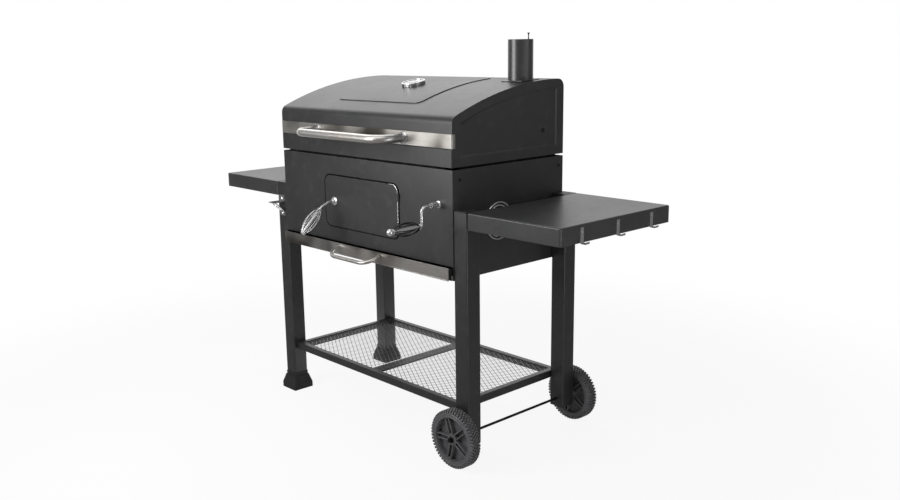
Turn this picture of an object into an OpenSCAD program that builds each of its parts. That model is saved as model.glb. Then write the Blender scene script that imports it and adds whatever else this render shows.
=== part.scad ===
// Charcoal grill cart: firebox on four legs, hinged lid with a chimney, two side tables,
// a wire shelf, two wheels, a crank-lifted charcoal pan and a pull-out ash drawer.
// Millimetres. Inside the modules x = 0 is the middle of the firebox, y = 0 is its front
// face and z = 0 is the floor; in_place() moves that frame to the middle of the whole cart.

/* [Firebox] */
// Width of the firebox, side to side
box_w = 850; // [760:5:900]
// Depth of the firebox, front to back
box_d = 484; // [460:2:540]
// Height of the firebox's side panels
box_h = 323; // [315:1:345]
// Thickness of the firebox and lid sheet
sheet = 1.5; // [1.2:0.1:2]
// Height of the ash drawer's slot under the front panel
drawer_slot = 41; // [38:1:46]

/* [Lid] */
// Height of the lid at its crown
lid_h = 233; // [215:1:250]
// Height of the lid's upright front, up to the crease
lid_front_h = 140; // [130:1:150]
// Crown of the lid in front of its rear wall
crown_set = 34; // [32:1:60]
// Daylight between the lid and the firebox
lid_gap = 7; // [5:0.5:10]
// Radius of the crease above the upright front
crease_r = 16; // [12:1:24]
// Radius of the lid's rear top corner
rear_r = 26; // [20:1:30]
// Depth of the pressed panels in the lid
press_depth = 2.5; // [1.5:0.5:3.5]
// Height of the bright trim band on the lid
trim_h = 41; // [34:1:46]
// Bottom of the trim band above the lid's lower edge
trim_rise = 54; // [48:1:60]
// Thickness of the trim band
trim_t = 2; // [1:0.5:3]

/* [Legs and tables] */
// Height of the table tops and of the legs
table_z = 770; // [740:5:800]
// How far the firebox hangs below the table tops
box_hang = 208; // [195:1:215]
// Width of the square leg tubes
leg_w = 54; // [44:1:58]
// Wall of the leg tubes
leg_wall = 1.5; // [1.2:0.1:2.5]
// Set-back of the legs behind the firebox's front face
leg_inset = 2; // [0:0.5:6]
// How far the rear legs and the tables stand behind the firebox
leg_out = 5; // [0:0.5:8]
// Length of each side table
table_l = 342; // [280:1:380]
// Height of the tables' folded aprons
apron_h = 50; // [40:1:60]
// Height of the plastic feet
foot_h = 62; // [54:1:66]
// Width of the feet on the floor
foot_w = 80; // [70:1:88]

/* [Shelf] */
// Underside of the shelf above the floor
shelf_z = 155; // [135:1:190]
// Height of the shelf rails
rail_h = 25; // [20:1:30]
// Width of the shelf rails
rail_w = 20; // [14:1:26]
// Set-back of the shelf behind the legs' front faces
shelf_inset = 14; // [8:1:20]
// Width of the bar under the middle of the mesh
mid_bar_w = 44; // [30:1:60]
// Length of a mesh diamond
diamond_l = 62; // [56:1:80]
// Height of a mesh diamond
diamond_w = 36; // [32:1:46]
// Width of the mesh strands
strand = 4; // [3:0.5:5]

/* [Wheels] */
// Radius of the wheels
wheel_r = 90; // [82:1:98]
// Width of the wheels
wheel_w = 37; // [30:1:42]
// Radius of the rim's opening
rim_r = 67; // [58:1:70]
// Radius of the axle
axle_r = 4; // [4:0.5:5]
// Gap between a wheel and its leg
wheel_gap = 9; // [5:0.5:12]
// Number of tread lugs
lug_count = 36; // [24:2:44]

/* [Charcoal door] */
// Width of the charcoal door
door_w = 370; // [330:2:390]
// Height of the charcoal door
door_h = 168; // [150:1:172]
// Centre of the door below the firebox's rim
door_drop = 148; // [140:1:152]
// Corner radius of the door
door_r = 26; // [18:1:30]
// How far the door stands proud
door_proud = 7; // [6:0.5:9]
// Overlap of the door over its opening
door_lap = 13; // [11:0.5:16]

/* [Handles] */
// Radius of the lid handle's tube
lid_tube_r = 13; // [10:0.5:14]
// Half the length of the lid handle
lid_handle_half = 218; // [190:1:240]
// Reach of the lid handle in front of the trim
lid_handle_reach = 92; // [80:1:100]
// Bend radius of the lid handle
lid_handle_bend = 55; // [40:1:60]
// Droop of the lid handle, degrees
lid_handle_drop = 0; // [0:1:8]
// Radius of the drawer handle's tube
drawer_tube_r = 5.5; // [4:0.5:7]
// Half the length of the drawer handle
drawer_handle_half = 106; // [90:1:120]
// Reach of the drawer handle
drawer_handle_reach = 54; // [46:1:60]
// Bend radius of the drawer handle
drawer_handle_bend = 38; // [24:1:44]
// Downward slope of the drawer handle, degrees
drawer_handle_drop = 20; // [0:1:25]
// Length of the coil grips
grip_l = 102; // [90:1:110]
// Largest radius of the coil grips
grip_r = 17; // [13:0.5:18]
// Number of wires round a coil grip
grip_wires = 8; // [6:1:12]

/* [Crank and pan] */
// Distance of the crank's shaft from the firebox's right wall
crank_set = 58; // [56:1:70]
// Crank shaft below the firebox's rim
crank_drop = 103; // [98:1:106]
// Length of the crank's arm
crank_arm = 56; // [48:1:60]
// Reach of the crank's arm in front of the firebox
crank_reach = 68; // [60:1:76]
// Length of the sleeve round the crank's shaft in front of the firebox
crank_sleeve = 32; // [20:1:36]
// Radius of the crank's rod
rod_r = 4; // [3.5:0.5:5]
// Travel of the charcoal pan
pan_travel = 60; // [40:5:60]
// Gap between the charcoal pan and the lifting racks
pan_gap = 12; // [6:1:40]
// Depth of the charcoal pan's sides
pan_h = 52; // [40:1:58]
// Tooth module of the lifting racks
tooth_module = 3; // [3:0.5:3]
// Teeth on a lifting pinion
pinion_teeth = 12; // [12:1:12]

/* [Chimney, vents and thermometer] */
// Radius of the chimney tube
chimney_r = 39; // [34:0.5:42]
// Height of the chimney's rim above the lid's crown
chimney_h = 121; // [100:1:140]
// Chimney in from the lid's right end
chimney_set = 75; // [60:1:110]
// Chimney in front of the lid's rear wall
chimney_back = 117; // [100:1:140]
// Margin of the square flange round the chimney
flange_margin = 4; // [3:0.5:10]
// Radius of the side vents
vent_r = 58; // [50:1:62]
// Side vents behind the front face
vent_y = 188; // [180:1:240]
// Side vents below the firebox's rim
vent_drop = 169; // [150:1:180]
// Radius of the thermometer's bezel
gauge_r = 39; // [34:1:44]
// Height of the thermometer's bezel
gauge_h = 12; // [10:0.5:15]
// Thermometer behind the front face
gauge_y = 236; // [200:1:260]

/* [Hidden] */

$fn = 64;
black = "#26282b";
steel = "#b9b7b2";
chrome = "#d6d8da";
plastic = "#1d1e20";
iron = "#3a3a3b";

// Clearances
run_gap = 0.05;      // radial gap of a shaft in its bearing
slide_gap = 0.5;     // each side of a slider in its guide
seat_gap = 0.3;      // between parts that rest on each other but move apart
over = 1;            // how far a cutter runs past the face it cuts

// Levels
box_z = table_z - box_hang;
rim_z = box_z + box_h;
lid_z = rim_z + lid_gap;
crown_z = lid_z + lid_h;
crease_z = lid_z + lid_front_h;
box_x = box_w / 2;
inner_x = box_x - sheet;
inner_y = box_d - sheet;
crown_y = box_d - crown_set;
leg_x = box_x + leg_w / 2;
leg_y_front = leg_inset + leg_w / 2;
leg_y_rear = box_d + leg_out - leg_w / 2;
table_x = box_x + leg_w;
table_end = table_x + table_l;
table_y0 = leg_inset;
table_depth = box_d + leg_out - leg_inset;

// Lid curve: an arc from the crease to the crown
arc_rise = crown_z - crease_z;
arc_r = (crown_y * crown_y + arc_rise * arc_rise) / (2 * arc_rise);
arc_z = crown_z - arc_r;
function lid_top(y) = arc_z + sqrt(arc_r * arc_r - (crown_y - y) * (crown_y - y));
function lid_slope(y) = asin((crown_y - y) / arc_r);

// Lid hinge
hinge_reach = 12;
hinge_y = box_d + hinge_reach;
hinge_z = rim_z + lid_gap / 2;
hinge_x = box_w * 0.35;
hinge_pin_r = 4;
knuckle_r = 6.5;
hinge_w = 50;
hinge_plate_h = 42;
hinge_plate_t = 2;

// Drawer
drawer_proud = 14;
strip_t = 1.7;
strip_gap = 1.5;
drawer_z = box_z + 3;
runner_t = 1.5;
runner_w = 20;
runner_reach = 6;

// Fronts of what stands out, for the middle of the cart
bush_l = 4;
grip_spacer = 3;
ball_r = 10;
grip_start = crank_reach + rod_r + grip_spacer;
ball_seat = sqrt(ball_r * ball_r - (rod_r - 0.5) * (rod_r - 0.5));
front_reach = grip_start + grip_l + seat_gap + ball_seat + ball_r;
nut_l = 8;
rear_reach = box_d + leg_out + wheel_gap + wheel_w + nut_l;
hook_reach = 22;
x0 = -hook_reach / 2;
y0 = (front_reach - rear_reach) / 2;

// Grates, pan and lift
grate_t = 10;
grate_z = rim_z - 21.5;
ledge_t = 1.5;
ledge_w = 18;
crank_x = box_x - crank_set;
shaft_z = rim_z - crank_drop;
pitch_r = tooth_module * pinion_teeth / 2;
pitch = PI * tooth_module;
addendum = 0.8 * tooth_module;
dedendum = tooth_module;
rack_x = crank_x - pitch_r;
rack_top = shaft_z + 14;
bar_h = 6;
bar_w = 20;
lift_y = [90, box_d - 90];
pan_z = rack_top - 116;
bar_z = pan_z - bar_h;
rack_w = 8;
rack_back = 9;
pinion_w = 10;
pan_w = 2 * (rack_x - dedendum - rack_back - pan_gap);
pan_y = 40;
slider_w = 13;
slider_h = 100;
slider_x = box_x - 27;
neck_x = slider_x - 10;
guide_t = 1.5;

// Warming rack: a parallelogram with the lid hinge
rack_pivot_y = 390;
rack_pivot_z = lid_z + 79;
link_dy = -66;
link_dz = -38;
link_l_y = rack_pivot_y - hinge_y;
link_l_z = rack_pivot_z - hinge_z;
link_len = norm([link_l_y, link_l_z]);
link_angle = atan2(link_l_z, link_l_y);
link_base_y = hinge_y + link_dy;
link_base_z = hinge_z + link_dz;
stud_r = 3;

// Charcoal door
door_z = rim_z - door_drop;
door_t = 1.5;
door_gap = 1;
door_pin_r = 2;
door_knuckle_r = 3.2;
door_pin_x = door_w / 2 + door_knuckle_r + 0.4;
door_pin_y = -door_gap - door_knuckle_r;
latch_x = -door_w / 2 + 50;
latch_start = 26;
latch_elbow = [-2, -56, -14];
tongue_l = door_h / 2 - door_lap - 8;
latch_bend = latch_elbow - [0, -latch_start, 0];
latch_dir = [0, -72, -70] / norm([0, -72, -70]);
latch_neck = 8;

// Chimney damper
chimney_top = crown_z + chimney_h;
chimney_x = box_x - chimney_set;
chimney_y = box_d - chimney_back;
flange_w = 2 * (chimney_r + flange_margin);
damper_drop = 8;
damper_t = 1.5;
knob_ring = chimney_r - 15;
knob_h = 24;
knob_angle = 45;

// Thermometer seat
gauge_tilt = lid_slope(gauge_y);

module in_place() {
    translate([x0, y0, 0]) children();
}

// Mirror copies across the middle of the firebox
module both_sides() {
    children();
    mirror([1, 0, 0]) children();
}

// A rounded rectangle in the drawing plane, middle on the origin
module round_rect(w, h, r) {
    square([w - 2 * r, h], center = true);
    square([w, h - 2 * r], center = true);
    for (sx = [-1, 1], sy = [-1, 1]) translate([sx * (w / 2 - r), sy * (h / 2 - r)]) circle(r = r);
}

// Flat bar with round eyes from point a to point b, as a drawing; the bar is a little narrower than its eyes
module strap(a, b, w) {
    d = b - a;
    bar_w = 0.86 * w;
    translate(a) rotate(atan2(d[1], d[0])) translate([0, -bar_w / 2]) square([norm(d), bar_w]);
    translate(a) circle(r = w / 2);
    translate(b) circle(r = w / 2);
}

// Stands a drawing up in the x-z plane; its thickness runs from y = 0 to y = -t
module upright(t) {
    rotate([90, 0, 0]) linear_extrude(t) children();
}

// Turns a y-z drawing into a slab from x = 0 to x = t
module slab_yz(t) {
    rotate([90, 0, 90]) linear_extrude(t) children();
}

// A rod along y from y = a to y = b
module rod_y(a, b, r) {
    translate([0, a, 0]) rotate([-90, 0, 0]) cylinder(r = r, h = b - a);
}

// A rod along x from x = a to x = b
module rod_x(a, b, r) {
    translate([a, 0, 0]) rotate([0, 90, 0]) cylinder(r = r, h = b - a);
}

// A dome-headed bolt head pointing along +z
module bolt_head(r, h) {
    cylinder(r = r, h = h * 0.5);
    translate([0, 0, h * 0.5 - 0.01]) cylinder(r1 = r, r2 = r * 0.55, h = h * 0.5);
}

// ---------- legs, feet and axle ----------

// Square tube from z = a to z = b
module leg_tube(x, y, a, b) {
    translate([x, y, a]) difference() {
        translate([-leg_w / 2, -leg_w / 2, 0]) cube([leg_w, leg_w, b - a]);
        translate([-leg_w / 2 + leg_wall, -leg_w / 2 + leg_wall, -over])
            cube([leg_w - 2 * leg_wall, leg_w - 2 * leg_wall, b - a + 2 * over]);
    }
}

plug_t = 3;
foot_floor = 12;
leg_top = table_z - plug_t;
leg_drop = 24;       // below the axle
wheel_leg_z = wheel_r - leg_drop;

module leg_front_left() in_place() color(black)
    leg_tube(-leg_x, leg_y_front, foot_floor, leg_top);

module leg_rear_left() in_place() color(black)
    leg_tube(-leg_x, leg_y_rear, foot_floor, leg_top);

module leg_on_axle(y) difference() {
    leg_tube(leg_x, y, wheel_leg_z, leg_top);
    translate([leg_x, 0, wheel_r]) rod_y(y - leg_w, y + leg_w, axle_r);
}

module leg_front_right() in_place() color(black) leg_on_axle(leg_y_front);

module leg_rear_right() in_place() color(black) leg_on_axle(leg_y_rear);

// Flared foot with a square socket for the leg
foot_collar = 2.5;
module foot(x, y) {
    collar_w = leg_w + 2 * foot_collar;
    translate([x, y, 0]) difference() {
        union() {
            intersection() {
                foot_slab(collar_w);
                rotate(90) foot_slab(collar_w);
            }
            translate([-collar_w / 2, -collar_w / 2, 0]) cube([collar_w, collar_w, foot_h]);
        }
        translate([-leg_w / 2, -leg_w / 2, foot_floor]) cube([leg_w, leg_w, foot_h]);
    }
}

foot_base = 16;
foot_band = 12;
module foot_slab(collar_w) {
    rotate([90, 0, 0]) linear_extrude(foot_w, center = true)
        polygon([[-foot_w / 2, 0], [foot_w / 2, 0], [foot_w / 2, foot_base],
            [collar_w / 2, foot_h - foot_band], [-collar_w / 2, foot_h - foot_band],
            [-foot_w / 2, foot_base]]);
}

module feet() in_place() color(plastic) {
    foot(-leg_x, leg_y_front);
    foot(-leg_x, leg_y_rear);
}

// Plugs close the tubes' top ends and the wheel legs' lower ends
module plug(x, y, z, dir) {
    translate([x, y, z]) mirror([0, 0, dir < 0 ? 1 : 0]) {
        translate([-leg_w / 2, -leg_w / 2, 0]) cube([leg_w, leg_w, plug_t]);
        inner = leg_w - 2 * leg_wall;
        translate([-inner / 2, -inner / 2, -12]) cube([inner, inner, 12]);
    }
}

module leg_plugs() in_place() color(plastic) {
    for (x = [-leg_x, leg_x], y = [leg_y_front, leg_y_rear]) plug(x, y, leg_top, 1);
    for (y = [leg_y_front, leg_y_rear]) plug(leg_x, y, wheel_leg_z, -1);
}

wheel_y_front = leg_inset - wheel_gap - wheel_w;
wheel_y_rear = box_d + leg_out + wheel_gap;
washer_t = 1.5;
nut_grip = 5;
axle_y0 = wheel_y_front - nut_grip;
axle_y1 = wheel_y_rear + wheel_w + nut_grip;

module axle() in_place() color(black)
    translate([leg_x, 0, wheel_r]) rod_y(axle_y0, axle_y1, axle_r);

// Cap nuts outside the wheels and spacers between wheels and legs
module axle_nuts() in_place() color(chrome) translate([leg_x, 0, wheel_r]) {
    cap_nut(wheel_y_front - seat_gap, -1);
    cap_nut(wheel_y_rear + wheel_w + seat_gap, 1);
    for (y = [leg_inset - wheel_gap + seat_gap, box_d + leg_out]) difference() {
        rod_y(y, y + wheel_gap - seat_gap, axle_r + 5);
        rod_y(y - over, y + wheel_gap + over, axle_r);
    }
}

module cap_nut(y, dir) {
    translate([0, y, 0]) rotate([dir < 0 ? 90 : -90, 0, 0]) difference() {
        union() {
            cylinder(r = axle_r + 5, h = washer_t);
            cylinder(r = axle_r + 3, h = nut_l - seat_gap, $fn = 6);
        }
        translate([0, 0, -over]) cylinder(r = axle_r, h = over + nut_grip - seat_gap);
    }
}

// ---------- firebox ----------

opening_w = door_w - 2 * door_lap;
opening_h = door_h - 2 * door_lap;
opening_r = door_r - door_lap / 2;
collar_hole_r = rod_r + 4;
latch_shaft_r = 4;

module firebox_front() in_place() color(black) difference() {
    union() {
        translate([-inner_x, 0, box_z + drawer_slot]) cube([2 * inner_x, sheet, box_h - drawer_slot]);
        // folded stiffening flange over the drawer slot
        translate([-inner_x, 0, box_z + drawer_slot]) cube([2 * inner_x, 10, sheet]);
    }
    translate([0, sheet + over, door_z]) upright(sheet + 2 * over)
        round_rect(opening_w, opening_h, opening_r);
    translate([crank_x, 0, shaft_z]) rod_y(-over, sheet + over, collar_hole_r);
}

module firebox_rear() in_place() color(black) difference() {
    translate([-inner_x, inner_y, box_z]) cube([2 * inner_x, sheet, box_h]);
    translate([crank_x, 0, shaft_z]) rod_y(inner_y - over, box_d + over, collar_hole_r);
}

vent_z = rim_z - vent_drop;
vent_hole_ring = vent_r * 0.56;
vent_hole_r = vent_r * 0.17;
vent_holes = 4;
rivet_r = 4;

// Holes round a centre, as cylinders along x
module vent_cut(x, len) {
    for (i = [0:vent_holes - 1]) rotate([i * 360 / vent_holes, 0, 0])
        translate([x, 0, vent_hole_ring]) rod_x(0, len, vent_hole_r);
}

module firebox_side() difference() {
    translate([inner_x, 0, box_z]) cube([sheet, box_d, box_h]);
    translate([0, vent_y, vent_z]) {
        vent_cut(inner_x - over, sheet + 2 * over);
        rod_x(inner_x - over, box_x + over, rivet_r - 1);
    }
}

module firebox_right() in_place() color(black) firebox_side();

module firebox_left() in_place() color(black) mirror([1, 0, 0]) firebox_side();

// Draught lip just inside the lid's walls, cut short at the corners
lip_set = 3;
lip_rise = lid_gap + 6;
lip_margin = 34;

module rim_frame() in_place() color(black) {
    for (rear = [0, 1]) translate([0, rear * box_d, 0]) mirror([0, rear, 0]) {
        translate([lip_margin - box_x, sheet, rim_z - sheet])
            cube([box_w - 2 * lip_margin, lip_set, sheet]);
        translate([lip_margin - box_x, lip_set, rim_z - sheet])
            cube([box_w - 2 * lip_margin, sheet, lip_rise + sheet]);
    }
    both_sides() {
        translate([inner_x - lip_set, lip_margin, rim_z - sheet])
            cube([lip_set, box_d - 2 * lip_margin, sheet]);
        translate([box_x - lip_set - sheet, lip_margin, rim_z - sheet])
            cube([sheet, box_d - 2 * lip_margin, lip_rise + sheet]);
    }
}

// Pads on which the closed lid's front edge rests
stop_l = 24;
module lid_stops() in_place() color(plastic) both_sides()
    translate([box_x * 0.8, 0, rim_z]) cube([stop_l, lip_set - 0.2, lid_gap - seat_gap]);

// ---------- tables, hooks and bottle opener ----------

module table() difference() {
    translate([table_x, table_y0, table_z - apron_h]) cube([table_l, table_depth, apron_h]);
    translate([table_x + sheet, table_y0 + sheet, table_z - apron_h - over])
        cube([table_l - 2 * sheet, table_depth - 2 * sheet, apron_h - sheet + over]);
}

module table_right() in_place() color(black) table();

module table_left() in_place() color(black) mirror([1, 0, 0]) table();

hook_w = 14;
hook_t = 2;
hook_pitch = 155;
hook_tip = 7;
hook_top = 8;

// One strap hook in side view: plate, foot and turned-up tip
module hook_section() {
    plate_h = apron_h - hook_top + hook_t;
    translate([0, -plate_h]) square([hook_t, plate_h]);
    translate([0, -plate_h]) square([hook_reach, hook_t]);
    translate([hook_reach - hook_t, -plate_h]) square([hook_t, hook_tip]);
}

module table_hooks() in_place() color(chrome) for (i = [-1:1])
    translate([table_end, box_d / 2 + i * hook_pitch + hook_w / 2, table_z - hook_top])
        rotate([90, 0, 0]) {
            linear_extrude(hook_w) hook_section();
            translate([hook_t, -12, hook_w / 2]) rotate([0, 90, 0]) cylinder(r = 3, h = 1.2);
        }

opener_w = 32;
opener_t = 2.5;
opener_z = table_z - 70;
opener_reach = 48;
opener_drop = 34;

// Bent strap in side view, with y running out of the leg
module opener_section() {
    square([opener_t, 24]);
    square([opener_reach, opener_t]);
    translate([0, -opener_drop - 16]) square([opener_t, 16]);
    polygon([[0, -opener_drop], [opener_t, -opener_drop], [opener_reach - 6, 0],
        [opener_reach - 10, 0]]);
}

module bottle_opener() in_place() color(chrome)
    translate([-leg_x - opener_w / 2, leg_inset, opener_z]) difference() {
        union() {
            mirror([0, 1, 0]) slab_yz(opener_w) opener_section();
            for (z = [12, -opener_drop - 8]) translate([opener_w / 2, -opener_t, z])
                rotate([90, 0, 0]) bolt_head(5, 3);
        }
        // mouth that takes the bottle's cap
        translate([opener_w / 2, -opener_reach / 2 - 4, -opener_drop - over])
            cylinder(r = opener_w * 0.32, h = opener_drop - opener_t + over);
    }

// ---------- shelf ----------

shelf_y0 = leg_inset + shelf_inset;
shelf_y1 = box_d - shelf_inset;
shelf_x = box_x;
mesh_t = 2;
mesh_z = shelf_z + rail_h - 6;
mid_bar_h = 6;

module shelf_frame() in_place() color(black) {
    difference() {
        translate([-shelf_x, shelf_y0, shelf_z]) cube([2 * shelf_x, shelf_y1 - shelf_y0, rail_h]);
        translate([-shelf_x + rail_w, shelf_y0 + rail_w, shelf_z - over])
            cube([2 * (shelf_x - rail_w), shelf_y1 - shelf_y0 - 2 * rail_w, rail_h + 2 * over]);
    }
    translate([-mid_bar_w / 2, shelf_y0 + rail_w, mesh_z - mid_bar_h])
        cube([mid_bar_w, shelf_y1 - shelf_y0 - 2 * rail_w, mid_bar_h]);
}

module shelf_mesh() in_place() color(steel) {
    w = 2 * (shelf_x - rail_w);
    d = shelf_y1 - shelf_y0 - 2 * rail_w;
    hole_l = diamond_l - strand * 2;
    hole_w = diamond_w - strand * 1.6;
    columns = floor((w - 2 * strand) / diamond_l);
    rows = floor((d - 2 * strand) / diamond_w);
    translate([0, (shelf_y0 + shelf_y1) / 2, mesh_z]) linear_extrude(mesh_t) difference() {
        square([w, d], center = true);
        for (r = [0:rows - 1], shift = [0, 1], c = [0:columns - 1 - shift])
            if (shift == 0 || r < rows - 1)
                translate([(c - (columns - 1) / 2 + shift / 2) * diamond_l,
                    (r - (rows - 1) / 2 + shift / 2) * diamond_w])
                    polygon([[-hole_l / 2, 0], [0, -hole_w / 2], [hole_l / 2, 0], [0, hole_w / 2]]);
    }
}

// ---------- inside the firebox ----------

// Angles that carry the ash drawer
module drawer_runners() in_place() color(black) both_sides() {
    translate([inner_x - runner_w, -runner_reach, drawer_z - seat_gap - runner_t])
        cube([runner_w, inner_y + runner_reach, runner_t]);
    translate([inner_x - runner_t, -runner_reach, drawer_z - seat_gap])
        cube([runner_t, inner_y + runner_reach, 14]);
}

grate_gap = 2;
grate_w = inner_x - 19;
grate_y = sheet + 4;

module grate() difference() {
    bar = 7;
    slots = floor((grate_w - bar) / 18);
    slot_pitch = (grate_w - bar) / slots;
    translate([grate_gap, grate_y, grate_z]) cube([grate_w, box_d - 2 * grate_y, grate_t]);
    for (i = [0:slots - 1], half = [0, 1])
        translate([grate_gap + bar + i * slot_pitch,
            half == 0 ? grate_y + 12 : box_d / 2 + 6, grate_z - over])
            cube([slot_pitch - bar, box_d / 2 - grate_y - 18, grate_t + 2 * over]);
}

module grate_right() in_place() color(iron) grate();

module grate_left() in_place() color(iron) mirror([1, 0, 0]) grate();

// Angles along the front and rear panels that carry the grates
module grate_rests() in_place() color(black) for (rear = [0, 1])
    translate([0, rear * box_d, 0]) mirror([0, rear, 0]) {
        translate([-inner_x, sheet, grate_z - ledge_t]) cube([2 * inner_x, ledge_w, ledge_t]);
        translate([-inner_x, sheet, grate_z - ledge_w]) cube([2 * inner_x, ledge_t, ledge_w - ledge_t]);
    }

guide_z0 = bar_z - 40;
guide_z1 = bar_z + slider_h - 40 + pan_travel + 6;

// Upright channels for the lifting frame's sliders
module lift_guides() in_place() color(black) both_sides() for (y = lift_y)
    translate([slider_x - 4, y, guide_z0]) difference() {
        depth = inner_x - slider_x + 4;
        half = slider_w / 2 + slide_gap + guide_t;
        translate([0, -half, 0]) cube([depth, 2 * half, guide_z1 - guide_z0]);
        translate([-over, -half + guide_t, -over])
            cube([depth - guide_t + over, 2 * half - 2 * guide_t, guide_z1 - guide_z0 + 2 * over]);
    }

// Bushes for the crank shaft in the front and rear panels
module bush(y0, y1, flange_y) difference() {
    union() {
        rod_y(y0, y1, collar_hole_r);
        rod_y(flange_y, flange_y + bush_l, collar_hole_r + 3);
    }
    rod_y(y0 - over, y1 + over, rod_r + run_gap);
}

module crank_bushes() in_place() color(chrome) translate([crank_x, 0, shaft_z]) {
    bush(-crank_sleeve, sheet + 4, -bush_l);
    bush(inner_y - 4, box_d + bush_l, box_d);
}

// Bolt heads, side screws and the vents' rivets
module body_bolts() in_place() color(chrome) both_sides() {
    for (y = [29, box_d - 19]) translate([box_x, y, rim_z - 29]) rotate([0, 90, 0]) bolt_head(5, 3);
    for (y = [leg_y_front, leg_y_rear], z = [box_z + 45, table_z - 25])
        translate([inner_x, y, z]) rotate([0, -90, 0]) bolt_head(6, 4);
    for (y = [leg_y_front, leg_y_rear], dz = [-12, -36])
        translate([table_x + sheet, y, table_z + dz]) rotate([0, 90, 0]) bolt_head(6, 4);
    for (y = [shelf_y0 + rail_w + 7, shelf_y1 - rail_w - 7])
        translate([shelf_x - rail_w, y, shelf_z + 9]) rotate([0, -90, 0]) bolt_head(5, 3);
    // studs on which the rack's links turn
    translate([0, link_base_y, link_base_z]) {
        rod_x(link_x - 2, inner_x, stud_r);
        rod_x(link_x + link_t + 0.4, inner_x, stud_r + 2);
        rod_x(link_x - 3, link_x - 0.4, stud_r + 3);
    }
    translate([0, vent_y, vent_z]) {
        rod_x(inner_x - 2, box_x + vent_t + seat_gap + 0.4, rivet_r - 1 - run_gap);
        rod_x(box_x + vent_t + seat_gap + 0.4, box_x + vent_t + 3, rivet_r + 2);
        rod_x(inner_x - 3, inner_x, rivet_r + 1);
    }
}

// ---------- hinges ----------

leaf_gap = 0.3;
leaf_w = hinge_w * 0.35;

module knuckle(a, b) difference() {
    translate([0, hinge_y, hinge_z]) rod_x(a, b, knuckle_r);
    translate([0, hinge_y, hinge_z]) rod_x(a - over, b + over, hinge_pin_r + run_gap);
}

// Web from a plate at the wall to the knuckle, minus the pin's bore
module hinge_web(a, b, z0, z1) difference() {
    translate([a, 0, 0]) slab_yz(b - a)
        polygon([[box_d, z0], [box_d + hinge_plate_t, z0], [hinge_y, hinge_z - knuckle_r * sign(z1 - z0)],
            [hinge_y - knuckle_r * 0.6, hinge_z + knuckle_r * 0.5 * sign(z1 - z0)],
            [box_d + hinge_plate_t, z1], [box_d, z1]]);
    translate([0, hinge_y, hinge_z]) rod_x(a - over, b + over, hinge_pin_r + run_gap);
}

// Fixed leaves on the rear panel
module hinge_brackets() in_place() color(black) both_sides() translate([hinge_x, 0, 0]) {
    translate([-hinge_w / 2, box_d, rim_z - hinge_plate_h]) cube([hinge_w, hinge_plate_t, hinge_plate_h - 2]);
    for (side = [-1, 1]) {
        a = side < 0 ? -hinge_w / 2 : leaf_w / 2 + leaf_gap;
        b = side < 0 ? -leaf_w / 2 - leaf_gap : hinge_w / 2;
        knuckle(a, b);
        hinge_web(a, b, rim_z - 14, rim_z - 2);
    }
}

// Leaves on the lid's rear wall
module lid_hinge_leaves() in_place() color(black) both_sides() translate([hinge_x, 0, 0]) {
    translate([-hinge_w / 2, box_d, lid_z + 3]) cube([hinge_w, hinge_plate_t, hinge_plate_h - 2]);
    knuckle(-leaf_w / 2, leaf_w / 2);
    hinge_web(-leaf_w / 2, leaf_w / 2, lid_z + 14, lid_z + 3);
}

module lid_hinge_pins() in_place() color(chrome) both_sides() translate([hinge_x, hinge_y, hinge_z]) {
    rod_x(-hinge_w / 2 - 2, hinge_w / 2 + 2, hinge_pin_r);
    rod_x(-hinge_w / 2 - 4, -hinge_w / 2 - 0.4, hinge_pin_r + 2);
    rod_x(hinge_w / 2 + 0.4, hinge_w / 2 + 4, hinge_pin_r + 2);
}

// ---------- lid ----------

// Lid outline in the y-z plane, drawn in by inset from the outer skin
module lid_profile(inset = 0) {
    big_r = arc_r - inset;
    small_r = crease_r - inset;
    small_z = arc_z + sqrt(pow(arc_r - crease_r, 2) - pow(crown_y - crease_r, 2));
    touch = crease_r - small_r * (crown_y - crease_r) / (arc_r - crease_r);
    back_r = rear_r - inset;
    difference() {
        intersection() {
            translate([crown_y, arc_z]) circle(r = big_r, $fn = 720);
            translate([inset, lid_z - (inset > 0 ? over : 0)])
                square([box_d - 2 * inset, lid_h + over + (inset > 0 ? over : 0)]);
        }
        difference() {
            translate([-over, small_z]) square([touch + over, lid_h]);
            translate([crease_r, small_z]) circle(r = small_r);
        }
        difference() {
            translate([box_d - rear_r, crown_z - rear_r]) square([rear_r + over, rear_r + over]);
            translate([box_d - rear_r, crown_z - rear_r - 0.5]) circle(r = back_r);
        }
    }
}

panel_half = 203;
panel_y0 = 75;
panel_y1 = 400;
joggle_t = 1.5;

// Slab of the raised top panel between two offsets from the lid's skin
module panel_band(lower, upper, trim) intersection() {
    translate([-panel_half + trim, 0, 0]) slab_yz(2 * (panel_half - trim)) difference() {
        translate([crown_y, arc_z]) circle(r = arc_r + upper, $fn = 720);
        translate([crown_y, arc_z]) circle(r = arc_r + lower, $fn = 720);
    }
    translate([0, (panel_y0 + panel_y1) / 2, crease_z])
        linear_extrude(lid_h) round_rect(2 * (panel_half - trim), panel_y1 - panel_y0 - 2 * trim, 22 - trim);
}

module lid_shell() in_place() color(black) difference() {
    union() {
        translate([-inner_x, 0, 0]) slab_yz(2 * inner_x) difference() {
            lid_profile();
            lid_profile(sheet);
        }
        panel_band(-sheet / 2, press_depth, 0);
        // lower front, pressed out below the trim
        translate([-inner_x, -joggle_t, lid_z]) cube([2 * inner_x, joggle_t, trim_rise - 3]);
    }
    panel_band(-sheet * 2, press_depth - sheet, sheet);
    translate([chimney_x, chimney_y, crease_z]) cylinder(r = chimney_r - sheet, h = lid_h);
    gauge_seat() cylinder(r = probe_r + 1, h = 60, center = true);
}

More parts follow.
